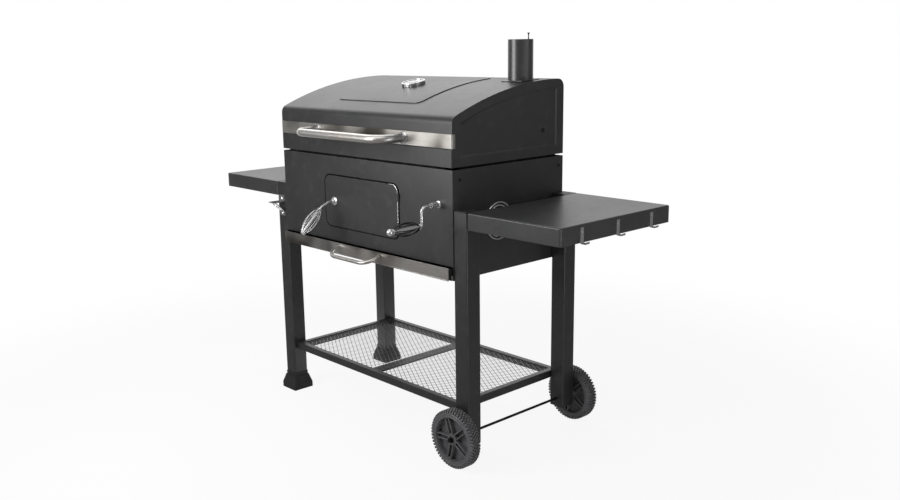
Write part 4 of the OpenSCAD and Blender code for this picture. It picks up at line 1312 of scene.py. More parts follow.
@dataclass
class Lid:
    """The lid's shell, raised top panel, sides and trim band."""

    form: LidForm
    step_t: float = 0.0015
    step_h: float = 0.051
    panel_half: float = 0.203
    panel_front: float = 0.075
    panel_rear: float = 0.400
    panel_corner: float = 0.022
    panel_rise: float = 0.0025
    field_margin: float = 0.033
    field_draft: float = 0.006
    field_shift: float = 0.006
    field_trim: float = 0.010
    chimney_hole: float = 0.035
    gauge_hole: float = 0.004
    trim_wall: float = 0.002
    trim_bend: float = 0.004

    def build(self) -> None:
        """Builds and fits the lid's sheet parts."""
        self.shell()
        self.sides()
        self.trim()

    def shell(self) -> None:
        """The wrapped sheet, bent over the crease, crown and rear corner."""
        span = Span.of("lid_shell")
        x0, x1, sheet = span.low.x, span.high.x, self.form.sheet
        edge = PLACE.lid_edge
        step_y, step_z = PLACE.front - self.step_t, edge + self.step_h
        shell = Piece.point("lid_shell_sheet", (x0, step_y, edge))
        shell.trace([(x0, step_y, step_z), (x0, PLACE.front, step_z + self.step_t * 0.7)])
        self.form.outline(shell, x0)
        shell.all().extrude((x1 - x0, 0, 0))
        shell.outward().thicken(sheet)
        for node, radius in (("chimney", self.chimney_hole), ("thermometer_case", self.gauge_hole)):
            middle = Span.of(node).middle
            low = (middle.x, middle.y, edge + self.form.front_h)
            shell.cut(Piece.rod("hole", radius, low, Z_AXIS, 0.12, 40))
        shell.soften(0.0005, 2)
        shell.join(self.panel())
        shell.dress(LID_COAT, 30).fit("lid", "lid_shell", slot="black_steel")

    def panel(self) -> Piece:
        """The raised top panel with round corners and soft edges."""
        form = self.form
        y0, y1 = PLACE.front + self.panel_front, PLACE.front + self.panel_rear
        x0, x1 = PLACE.middle_x - self.panel_half, PLACE.middle_x + self.panel_half
        low = (x0, y0, PLACE.lid_edge + form.front_h)
        plate = Piece.block("raised_panel", low, (x1, y1, PLACE.crown + 0.05))
        plate.edges(along=Z_AXIS).bevel(self.panel_corner, 8)
        over = 0.02
        band = form.band(
            "band", x0 - over, x1 + over, -form.sheet, self.panel_rise, y0 - over, y1 + over
        )
        plate.cut(band, keep="INTERSECT")
        return plate.soften(0.0022, 4, 50)

    def sides(self) -> None:
        """Side sheets with a pressed-in field under the arc; one is made and mirrored."""
        form, span = self.form, Span.of("lid_side_right")
        x0, x1 = span.low.x, span.high.x
        depth = x1 - x0 - form.sheet
        outer = self.side_slab("lid_side", x1 - form.sheet, x1)
        margin = self.field_margin - self.field_draft
        inner = self.field_slab("inner", x0, x1 - form.sheet / 2, margin - form.sheet)
        outer.cut(inner, keep="UNION")
        recess = self.field_slab("recess", x1 - 0.0002, x1 + 0.0003, margin)
        recess.faces((-1, 0, 0)).inset(self.field_draft, depth - 0.0002)
        outer.cut(recess).soften(0.0012, 3, 18)
        left = outer.mirrored("lid_side_left_sheet", 0, PLACE.middle_x)
        outer.obj.name = "lid_side_right_sheet"
        outer.dress(COAT, 30).fit("lid", "lid_side_right")
        left.dress(COAT, 30).fit("lid", "lid_side_left")

    def side_slab(self, name: str, x0: float, x1: float) -> Piece:
        """The lid's whole side outline as a slab."""
        slab = Piece.point(name, (x0, PLACE.front, PLACE.lid_edge))
        self.form.outline(slab, x0)
        slab.all().fill().extrude((x1 - x0, 0, 0))
        return slab.outward()

    def field_slab(self, name: str, x0: float, x1: float, margin: float) -> Piece:
        """The pressed field as a slab: straight below, an arc above."""
        y0 = PLACE.front + margin + self.field_shift
        y1 = y0 + (PLACE.back - PLACE.front) - 2 * margin - self.field_trim
        slab = self.form.band(name, x0, x1, -0.3, -margin, y0 - 0.05, y1 + 0.05)
        low = (x0 - 0.01, y0, PLACE.lid_edge + margin)
        block = Piece.block("bounds", low, (x1 + 0.01, y1, PLACE.crown + 0.1))
        return slab.cut(block, keep="INTERSECT")

    def trim(self) -> None:
        """The bright band, bent round both front corners."""
        span, wall, bend = Span.of("lid_trim"), self.trim_wall, self.trim_bend
        half = wall / 2
        x0, x1, y0 = span.low.x + half, span.high.x - half, span.low.y + half
        band = Piece.point("trim_band", (x0, span.high.y, span.low.z))
        for x, run_on in ((x0 + bend, (x0, y0 + bend, span.low.z)), (x1 - bend, (x1 - bend, y0, span.low.z))):
            band.trace([run_on]).spin(90, (x, y0 + bend, span.low.z), Z_AXIS, 6)
        band.trace([(x1, span.high.y, span.low.z)])
        band.all().extrude((0, 0, span.size.z))
        band.outward().thicken(wall, 0.0)
        band.soften(0.0006, 3).dress(STEEL, 30).fit("lid", "lid_trim", slot="brushed_steel")


@dataclass
class BentHandle:
    """A tube handle: two legs, two bends and a bar that droops."""

    name: str
    node: str
    tube_r: float
    bend_r: float
    seat_z: float
    droop: float = 0.0
    sunk: float = 0.0006

    def build(self) -> Piece:
        """Draws the handle level and turns it down about its seat.

        Returns:
            The handle.
        """
        span = Span.of(self.node)
        back = span.high.y
        half = span.size.x / 2 - self.tube_r
        drop = math.radians(self.droop)
        reach = (back - span.low.y - self.tube_r) / math.cos(drop)
        left = Vector((span.middle.x - half, back - self.sunk, self.seat_z))
        out, across = Vector((0, -reach, 0)), Vector((2 * half, 0, 0))
        corners = [left, left + out, left + out + across, left + across]
        handle = bent_rod(self.name, corners, self.tube_r, (self.bend_r, self.bend_r), 28)
        return handle.all().turn(self.droop, "X", (span.middle.x, back, self.seat_z))


class Axis(Enum):
    """The axis that a turned piece is spun about, with its rest direction for radii."""

    X = (Vector((1, 0, 0)), Vector((0, 0, 1)))
    Y = (Vector((0, 1, 0)), Vector((1, 0, 0)))
    Z = (Vector((0, 0, 1)), Vector((1, 0, 0)))


def turned(name: str, outline: Outline, centre: Point, axis: Axis, steps: int) -> Piece:
    """A piece turned from a closed outline.

    Args:
        name: the piece's name.
        outline: (radius, height along the axis) points; it closes on itself.
        centre: the outline's origin.
        axis: the axis that it turns about.
        steps: how many steps go round.

    Returns:
        The closed piece.
    """
    along, out = axis.value
    spots = [Vector(centre) + out * r + along * h for r, h in outline]
    made = Piece.point(name, spots[0]).trace(spots[1:] + spots[:1])
    return made.merge().lathe(centre, along, steps)


@dataclass
class LidFittings:
    """The lid's handle with its collars and nuts."""

    tube_r: float = 0.013
    bend_r: float = 0.055
    bolt_r: float = 0.001
    nut_r: float = 0.0069
    nut_t: float = 0.004
    collar_t: float = 0.0052

    def build(self) -> None:
        """Builds and fits the handle and its collars."""
        mounts = Span.of("handle_mounts")
        z, radius = mounts.middle.z, mounts.size.z / 2
        handle = BentHandle("lid_handle_tube", "lid_handle", self.tube_r, self.bend_r, z)
        handle.build().dress(TUBE_STEEL, 30).fit("lid", "lid_handle")
        collar = [
            (self.bolt_r, 0.0), (radius, 0.0), (radius, -0.0034), (radius - 0.0012, -0.0046),
            (self.tube_r + 0.0002, -0.005), (self.tube_r - 0.002, -self.collar_t),
            (self.bolt_r, -self.collar_t),
        ]
        nut = [(self.bolt_r, 0.0), (self.nut_r, 0.0), (self.nut_r, -self.nut_t), (self.bolt_r, -self.nut_t)]
        out = mounts.size.x / 2 - radius
        made = [
            turned(f"{name}_{side}", outline, (mounts.middle.x + side * out, y, z), Axis.Y, steps)
            for name, outline, y, steps in (
                ("collar", collar, mounts.low.y + 0.005, 48),
                ("nut", nut, mounts.high.y, 6),
            )
            for side in (-1, 1)
        ]
        collars = Piece.gather("handle_collars", made).soften(0.0003, 2, 40)
        collars.dress(CHROME, 30).fit("lid", "handle_mounts")


# ---------------------------------------------------------------- thermometer


@dataclass
class Thermometer:
    """The fluted bezel with its dial, needle, glass and probe."""

    form: LidForm
    ring_r: float = 0.039
    ring_h: float = 0.012
    wall: float = 0.004
    lobes: int = 12
    flute_r: float = 0.006
    flute_set: float = 0.0038
    probe_r: float = 0.003
    probe_l: float = 0.066
    nut_r: float = 0.008
    nut_t: float = 0.005
    dial_margin: float = 0.003
    ticks: int = 25
    tick_step: float = 10.0
    long_every: int = 4
    long_tick: tuple[float, float] = (0.005, 0.0005)
    short_tick: tuple[float, float] = (0.003, 0.0003)
    ink: float = 0.0001
    number_h: float = 0.0058
    number_set: float = 0.0095
    degrees_per_number: int = 50
    dial_seat: float = 0.003
    dial_t: float = 0.001
    needle_rest: float = 210.0
    pointer_half: float = 0.0013
    pointer_t: float = 0.0007
    pointer_taper: float = 0.2
    pointer_tail: float = 0.006
    pointer_short: float = 0.006

    def __post_init__(self) -> None:
        """Finds the seat on the lid from the dial's middle."""
        dial = Span.of("thermometer_dial").middle
        self.tilt = self.form.slope(dial.y)
        lean = math.radians(self.tilt)
        up = Vector((0, -math.sin(lean), math.cos(lean)))
        self.seat = dial - up * (self.dial_seat + self.dial_t / 2)

    def placed(self, piece: Piece) -> Piece:
        """Stands a piece made at the origin on the lid."""
        return piece.all().turn(self.tilt, "X", (0, 0, 0)).move(self.seat)

    def build(self) -> None:
        """Builds and fits every piece of the thermometer."""
        self.placed(self.case()).dress(CHROME, 30).fit("lid", "thermometer_case")
        self.placed(self.face()).dress(DIAL_WHITE, 30).fit("lid", "thermometer_dial")
        self.placed(self.marks()).dress(DIAL_BLACK, 30).fit("lid")
        self.placed(self.needle()).dress(NEEDLE_RED, 30).fit("needle", "thermometer_needle")
        self.placed(self.glass()).dress(GLASS, 30).fit("lid", "thermometer_glass")

    def case(self) -> Piece:
        """The bezel with its flutes, floor, probe and nut."""
        r, h, inner = self.ring_r, self.ring_h, self.ring_r - self.wall
        outline = [
            (0.002, 0.0), (r - 0.0006, 0.0), (r, 0.0006), (r, h - 0.0016), (r - 0.0006, h - 0.0005),
            (r - 0.0016, h), (inner + 0.0012, h), (inner + 0.0003, h - 0.0005), (inner, h - 0.0014),
            (inner, self.dial_seat), (0.002, self.dial_seat),
        ]
        case = turned("bezel", outline, (0, 0, 0), Axis.Z, 96)
        flute = Piece.rod("flute", self.flute_r, (r + self.flute_set, 0, -0.001), Z_AXIS, h - 0.0012, 24)
        case.cut(*flute.around(self.lobes, "Z")).soften(0.0004, 2, 35)
        probe = Run("probe", Vector((0, 0, 0.0005)), -Z_AXIS, self.probe_r, 16).straight(self.probe_l).end()
        nut = Piece.rod("nut", self.nut_r, (0, 0, -0.0066), -Z_AXIS, self.nut_t, 6)
        return case.join(probe, nut.soften(0.0005, 2))

    def face(self) -> Piece:
        """The dial's plate."""
        inner = self.ring_r - self.wall
        z0, z1 = self.dial_seat, self.dial_seat + self.dial_t
        outline = [(0.0013, z0), (inner, z0), (inner, z1), (0.0013, z1)]
        return turned("dial_plate", outline, (0, 0, 0), Axis.Z, 64)

    def marks(self) -> Piece:
        """Ticks and plain numbers round the dial."""
        z = self.dial_seat + self.dial_t
        ring = self.ring_r - self.wall - self.dial_margin
        made = []
        for n in range(self.ticks):
            length, half = self.long_tick if n % self.long_every == 0 else self.short_tick
            tick = Piece.block(f"tick_{n}", (ring - length, -half, z), (ring, half, z + self.ink))
            made.append(tick.all().turn(self.needle_rest - n * self.tick_step, "Z", (0, 0, 0)))
        for n in range(0, self.ticks, self.long_every):
            angle = math.radians(self.needle_rest - n * self.tick_step)
            spot = Vector((math.cos(angle), math.sin(angle), 0)) * (ring - self.number_set)
            value = self.degrees_per_number * (n // self.long_every + 1)
            made.append(self.number(str(value), spot + Z_AXIS * z))
        return made[0].join(*made[1:])

    def number(self, text: str, spot: Vector) -> Piece:
        """A number as a flat mesh, centred on a spot."""
        Piece.clear()
        bpy.ops.object.text_add(location=spot)
        obj = bpy.context.object
        obj.data.body, obj.data.size, obj.data.extrude = text, self.number_h, self.ink / 2
        obj.data.align_x, obj.data.align_y = "CENTER", "CENTER"
        obj.data.resolution_u = 3
        bpy.ops.object.convert(target="MESH")
        return Piece(bpy.context.object, "number_" + text).merge()

    def needle(self) -> Piece:
        """A tapered pointer on a domed hub."""
        tip, tail = self.ring_r - self.wall - self.pointer_short, -self.pointer_tail
        base = self.dial_seat + self.dial_t + 0.0003
        half, top = self.pointer_half, base + self.pointer_t
        pointer = Piece.block("pointer", (tail, -half, base), (tip, half, top))
        pointer.faces((1, 0, 0)).scale((1, self.pointer_taper, 1), (tip, 0, base))
        outline = [
            (0.0, base), (0.0034, base), (0.0034, base + 0.0006), (0.0026, base + 0.0012),
            (0.0, base + 0.0014),
        ]
        hub = turned("hub", outline, (0, 0, 0), Axis.Z, 24)
        return pointer.join(hub).all().turn(self.needle_rest, "Z", (0, 0, 0))

    def glass(self) -> Piece:
        """A slightly domed window."""
        inner, z1 = self.ring_r - self.wall, self.ring_h - 0.001
        outline = [
            (0.0, z1), (inner * 0.5, z1 - 0.0002), (inner, z1 - 0.001), (inner, z1 - 0.002),
            (0.0, z1 - 0.002),
        ]
        return turned("dial_window", outline, (0, 0, 0), Axis.Z, 64)


# ---------------------------------------------------------------- chimney


@dataclass
class Chimney:
    """The tube with its square flange, seat and turning damper."""

    form: LidForm
    wall: float = 0.0015
    flange_t: float = 0.002
    flange_corner: float = 0.005
    weld: float = 0.0016
    damper_drop: float = 0.008
    plate_t: float = 0.0015
    hole_ring: float = 0.5
    hole_r: float = 0.27
    hole_angle: float = 105.0
    knob_angle: float = 45.0
    knob_set: float = 0.015

    def __post_init__(self) -> None:
        """Finds the tube's centre and the skin's slope there."""
        span, flue = Span.of("chimney"), Span.of("chimney_damper")
        self.centre = Vector((span.middle.x, flue.middle.y, 0))
        self.top = span.high.z
        self.width = span.size.x
        self.radius = flue.size.x / 2 + self.wall + 0.0005
        self.skin = self.form.top(self.centre.y)
        self.tilt = self.form.slope(self.centre.y)

    def build(self) -> None:
        """Builds and fits the tube and the damper."""
        # The tube and damper take the paler copy of the coat: painted light.
        tube = self.tube().join(self.flange(), self.seat())
        tube.dress(CHIMNEY_LIGHTENED_COAT, 35).fit("lid", "chimney")
        self.damper().dress(CHIMNEY_LIGHTENED_COAT, 35).fit("damper", "chimney_damper")

    def tube(self) -> Piece:
        """The tube with a rounded rim, cut to the lid's slope."""
        ro, ri, t = self.radius, self.radius - self.wall, self.top
        low = self.skin - 0.02
        outline = [
            (ri, low), (ri, t - 0.0007), (ri + 0.0003, t - 0.0001), (ro - 0.0003, t - 0.0001),
            (ro, t - 0.0007), (ro, low),
        ]
        tube = turned("chimney_tube", outline, self.centre, Axis.Z, 96)
        lean = math.radians(self.tilt)
        tube.all()
        bpy.ops.mesh.bisect(
            plane_co=(self.centre.x, self.centre.y, self.skin),
            plane_no=(0, -math.sin(lean), math.cos(lean)),
            clear_inner=True,
            use_fill=True,
        )
        return tube.outward()

    def flange(self) -> Piece:
        """The flange, with round corners, a hole and a weld bead round the tube."""
        x, y = self.centre.x, self.centre.y
        half = self.width / 2
        low = (x - half, y - half, self.skin)
        plate = Piece.block("flange", low, (x + half, y + half, self.skin + self.flange_t))
        plate.edges(along=Z_AXIS).bevel(self.flange_corner, 5)
        plate.cut(Piece.rod("hole", self.radius - 0.0005, (x, y, self.skin - 0.01), Z_AXIS, 0.03, 64))
        r, z, b = self.radius, self.skin + self.flange_t, self.weld
        bead = [
            (r - 0.0004, z - 0.0004), (r + b, z - 0.0004), (r + b * 0.8, z + b * 0.5),
            (r + b * 0.4, z + b * 0.85), (r - 0.0004, z + b),
        ]
        weld = turned("weld", bead, (x, y, 0), Axis.Z, 64)
        plate.soften(0.0004, 2).join(weld)
        return plate.all().turn(self.tilt, "X", (x, y, self.skin))

    def ray(self, degrees: float) -> Vector:
        """Returns the level direction at an angle from X."""
        angle = math.radians(degrees)
        return Vector((math.cos(angle), math.sin(angle), 0))

    def holes(self, z: float) -> list[Piece]:
        """Three round cutters for the flue's openings."""
        made = []
        for n in range(3):
            at = self.centre + self.ray(n * 120 + self.hole_angle) * self.radius * self.hole_ring
            low = at + Z_AXIS * (z - 0.01)
            made.append(Piece.rod(f"opening_{n}", self.radius * self.hole_r, low, Z_AXIS, 0.02))
        return made

    def plate(self, name: str, radius: float, z: float) -> Piece:
        """A round plate with three openings."""
        outline = [(0.0, z), (radius, z), (radius, z + self.plate_t), (0.0, z + self.plate_t)]
        made = turned(name, outline, self.centre, Axis.Z, 64)
        return made.cut(*self.holes(z))

    def seat(self) -> Piece:
        """The fixed plate under the damper."""
        return self.plate("flue_seat", self.radius - self.wall + 0.0002, self.top - self.damper_drop)

    def damper(self) -> Piece:
        """The turning plate with its knob."""
        span = Span.of("chimney_damper")
        z = self.top - self.damper_drop + self.plate_t + 0.0003
        plate = self.plate("damper_plate", span.size.x / 2, z)
        at = self.centre + self.ray(self.knob_angle) * (self.radius - self.knob_set)
        base, top = z + self.plate_t - 0.0002, span.high.z
        outline = [
            (0.0, base), (0.0032, base), (0.0032, base + 0.001), (0.0019, base + 0.0016),
            (0.0017, top - 0.0075), (0.0022, top - 0.005), (0.0036, top - 0.0018), (0.004, top - 0.0008),
            (0.0036, top - 0.0001), (0.0, top - 0.00005),
        ]
        knob = turned("knob", outline, at, Axis.Z, 24)
        foot = span.low.z
        shank = [
            (0.0, foot), (0.005, foot), (0.005, foot + 0.0015), (0.0028, foot + 0.0016), (0.0028, z),
            (0.006, z), (0.006, z + 0.0022), (0.0045, z + 0.003), (0.0, z + 0.0032),
        ]
        rivet = turned("rivet", shank, self.centre, Axis.Z, 24)
        return plate.soften(0.0003, 1).join(knob, rivet)


# ---------------------------------------------------------------- charcoal door and its latch


@dataclass(frozen=True)
class CageGrip:
    """A grip of spring wires bowed round a tube, along +Z from the origin."""

    length: float
    bore_r: float
    core: Finish
    cage: Finish
    bow: float = 0.014
    wires: int = 8
    wire_r: float = 0.0015
    tube_t: float = 0.0025
    ring_t: float = 0.003
    ring_w: float = 0.0045
    nose: float = 0.0008

    def tube(self, name: str) -> Piece:
        """The tube with a rounded ring at each end."""
        tube_r, ring_r, nose = self.bore_r + self.tube_t, self.bore_r + self.ring_w, self.nose
        half = [
            (self.bore_r, 0.0), (ring_r - nose, 0.0), (ring_r, nose), (ring_r, self.ring_t - nose),
            (ring_r - nose, self.ring_t), (tube_r, self.ring_t + 0.0004),
        ]
        other = [(r, self.length - z) for r, z in reversed(half)]
        return turned(name, half + other, (0, 0, 0), Axis.Z, 24)

    def wire(self, name: str) -> Piece:
        """One bowed wire from ring to ring."""
        span = self.length - 2 * self.ring_t
        curve_r = (span**2 / 4 + self.bow**2) / (2 * self.bow)
        lean = math.asin(span / 2 / curve_r)
        centre = Vector((self.bow + self.bore_r + self.wire_r - curve_r, 0, self.length / 2))
        start = centre + Vector((math.cos(lean), 0, -math.sin(lean))) * curve_r
        heading = Vector((math.sin(lean), 0, math.cos(lean)))
        run = Run(name, start, heading, self.wire_r, 8)
        return run.bend(math.degrees(2 * lean), centre - start, curve_r, 14).end()

    def build(self, name: str) -> Piece:
        """Models the grip.

        Args:
            name: the piece's name.

        Returns:
            The dressed grip, still at the origin.
        """
        wires = self.wire(name + "_wire").around(self.wires, "Z")
        cage = wires[0].join(*wires[1:]).dress(self.cage, 60)
        return self.tube(name).dress(self.core, 30).join(cage)


@dataclass
class CharcoalDoor:
    """The pressed door with its knuckles, a black sheet that paints the shadow gap round it, a pale bead that
    paints the highlight on its edge, and the lever that latches it.
    """

    width: float = 0.370
    corner: float = 0.026
    proud: float = 0.003
    press: float = 0.0027
    sheet: float = 0.0012
    back_gap: float = 0.001
    # Size and run of the pale bead that paints the highlight on the door's edge.
    bead_r: float = 0.0012
    bead_run: float = 0.040
    # Side, thickness and reach of the black sheet that paints the shadow gap round the door.
    seal: tuple[float, float, float] = (0.006, 0.0006, 0.0045)
    seal_lap: float = 0.004
    pin_r: float = 0.002
    knuckle_r: float = 0.0032
    knuckle_h: float = 0.010
    knuckle_share: float = 0.28
    rod_r: float = 0.004
    washer_r: float = 0.014
    collar_r: float = 0.008
    straight: float = 0.026
    elbow: tuple[float, float, float] = (-0.002, -0.056, -0.014)
    slant: tuple[float, float] = (-0.072, -0.070)
    neck: float = 0.008
    grip_l: float = 0.102
    bends: tuple[float, float] = (0.020, 0.014)
    tongue_w: float = 0.012
    tongue_t: float = 0.003
    tongue_set: float = 0.004
    tongue_round: float = 0.0045

    def __post_init__(self) -> None:
        """Finds the door's and the shaft's places."""
        self.span = Span.of("charcoal_door")
        lever = Span.of("latch_lever")
        self.shaft = Vector(((lever.low.x + lever.high.x) / 2, PLACE.front, self.span.middle.z))
        self.face = PLACE.front - self.proud
        self.rear = PLACE.front - self.back_gap

    def build(self) -> None:
        """Builds and fits the door, the lever and its grip."""
        door = Piece.gather("charcoal_door_panel", [self.skin(), *self.knuckles()])
        door.dress(COAT, 30).fit("door", "charcoal_door", slot="black_steel")
        dress_node(COAT, "door_hinge")
        # A pale bead paints the highlight along the door's right edge.
        self.bare_edge()
        # A black sheet paints the shadow gap round the door.
        self.gasket()
        self.lever()

    def bare_edge(self) -> None:
        """A pale bead that paints a highlight on the sheet's rolled edge, round the upper corner and down the
        knuckles' side: painted highlight.
        """
        r, span = self.bead_r, self.span
        x, z, y = span.low.x + self.width - r / 3, span.high.z - r / 3, self.face + r * 0.7
        corners = [(x - self.bead_run, y, z), (x, y, z), (x, y, span.low.z + self.corner)]
        bead = bent_rod("door_edge_bead", corners, r, (self.corner - r,))
        bead.dress(PALE_TUBE, 35).fit("door")

    def gasket(self) -> None:
        """A flat black sheet round the door that stands in for the shadow in the gap: painted shadow."""
        side, thick, edge = self.seal
        span, lap = self.span, self.seal_lap
        corner = Vector((span.low.x + self.width, PLACE.front, span.high.z))
        seal = Piece.block(
            "door_seal",
            (span.low.x - side, PLACE.front - thick, span.low.z - edge),
            corner + Vector((side, 0, edge)),
        )
        seal.edges(along=Y_AXIS).bevel(self.corner + edge, 8)
        window = Piece.block(
            "seal_window",
            (span.low.x + lap, PLACE.front - 0.01, span.low.z + lap),
            corner + Vector((-lap, 0.01, -lap)),
        )
        window.edges(along=Y_AXIS).bevel(self.corner - lap, 8)
        seal.cut(window).dress(GAP_SHADE_COAT, 30).fit("cart")

    def skin(self) -> Piece:
        """The door's pressed sheet with round corners, a rolled edge and the shaft's hole."""
        x0 = self.span.low.x
        low, high = (x0, self.face, self.span.low.z), (x0 + self.width, self.rear, self.span.high.z)
        skin = Piece.block("charcoal_door_skin", low, high)
        skin.open((0, 1, 0)).edges(along=Y_AXIS).bevel(self.corner, 8)
        skin.edges(lambda at: near(at.y, self.face)).bevel(self.press, 5)
        skin.outward().thicken(self.sheet)
        hole = Piece.rod("shaft_hole", self.rod_r + 0.0003, self.shaft - Y_AXIS * 0.02, Y_AXIS, 0.04)
        return skin.cut(hole).soften(0.0003, 1, 50)

    def knuckles(self) -> list[Piece]:
        """Two rolled knuckles with their leaves on the door's right edge."""
        edge = self.span.low.x + self.width
        pin = Vector((edge + self.knuckle_r + 0.0004, self.rear - self.knuckle_r, 0))
        ring = [(self.pin_r + 0.0002, 0.0), (self.knuckle_r, 0.0)]
        outline = ring + [(r, self.knuckle_h) for r, _ in reversed(ring)]
        made = []
        for number, side in enumerate((-1, 1)):
            z = self.shaft.z + side * self.span.size.z * self.knuckle_share - self.knuckle_h / 2
            made.append(turned(f"knuckle_{number}", outline, pin + Z_AXIS * z, Axis.Z, 24))
            low = (edge - self.sheet, pin.y - self.knuckle_r, z)
            high = (pin.x, pin.y - self.knuckle_r + self.sheet, z + self.knuckle_h)
            made.append(Piece.block(f"leaf_{number}", low, high).soften(0.0003, 2))
        return made

    def lever(self) -> None:
        """The lever's rod, washer and tongue, and the cage grip on it."""
        elbow = self.shaft + Vector(self.elbow)
        slant = Vector((0, *self.slant)).normalized()
        corners = [
            self.shaft + Y_AXIS * 0.009,
            self.shaft - Y_AXIS * self.straight,
            elbow,
            elbow + slant * (self.neck + self.grip_l - 0.0005),
        ]
        rod = bent_rod("latch_rod", corners, self.rod_r - 0.0003, self.bends)
        whole = Piece.gather("latch_lever_rod", [rod, self.washer(), self.tongue()])
        whole.dress(PALE_TUBE, 35).fit("latch", "latch_lever", slot="chrome")
        grip = CageGrip(self.grip_l, self.rod_r - 0.0004, PALE_TUBE, CAGE_WIRE).build("latch_cage")
        grip.stand(elbow + slant * self.neck, slant).fit("latch", "latch_grip")


    def washer(self) -> Piece:
        """The dished washer and the collar that hold the rod on the door."""
        wide, narrow, bore, out = self.washer_r, self.collar_r, self.rod_r - 0.0005, self.face - PLACE.front
        outline = [
            (bore, out - 0.0003), (wide, out - 0.0003), (wide, out - 0.0012), (wide - 0.0016, out - 0.0026),
            (narrow + 0.0012, out - 0.0033), (narrow, out - 0.0045), (narrow, out - 0.0088),
            (narrow - 0.0014, out - 0.0100), (bore, out - 0.0100),
        ]
        return turned("latch_washer", outline, self.shaft, Axis.Y, 40)

    def tongue(self) -> Piece:
        """The flat tongue on the rod's inner end, which catches behind the panel."""
        half, depth = self.tongue_w / 2, Y_AXIS * self.tongue_set
        low = Vector((-half, 0, Span.of("latch_lever").low.z - self.shaft.z)) + self.shaft + depth
        high = self.shaft + depth + Vector((half, self.tongue_t, half))
        tongue = Piece.block("latch_tongue", low, high)
        tongue.edges(along=Y_AXIS).bevel(self.tongue_round, 4)
        return tongue.soften(0.0004, 2)


# ---------------------------------------------------------------- crank, pan and rack


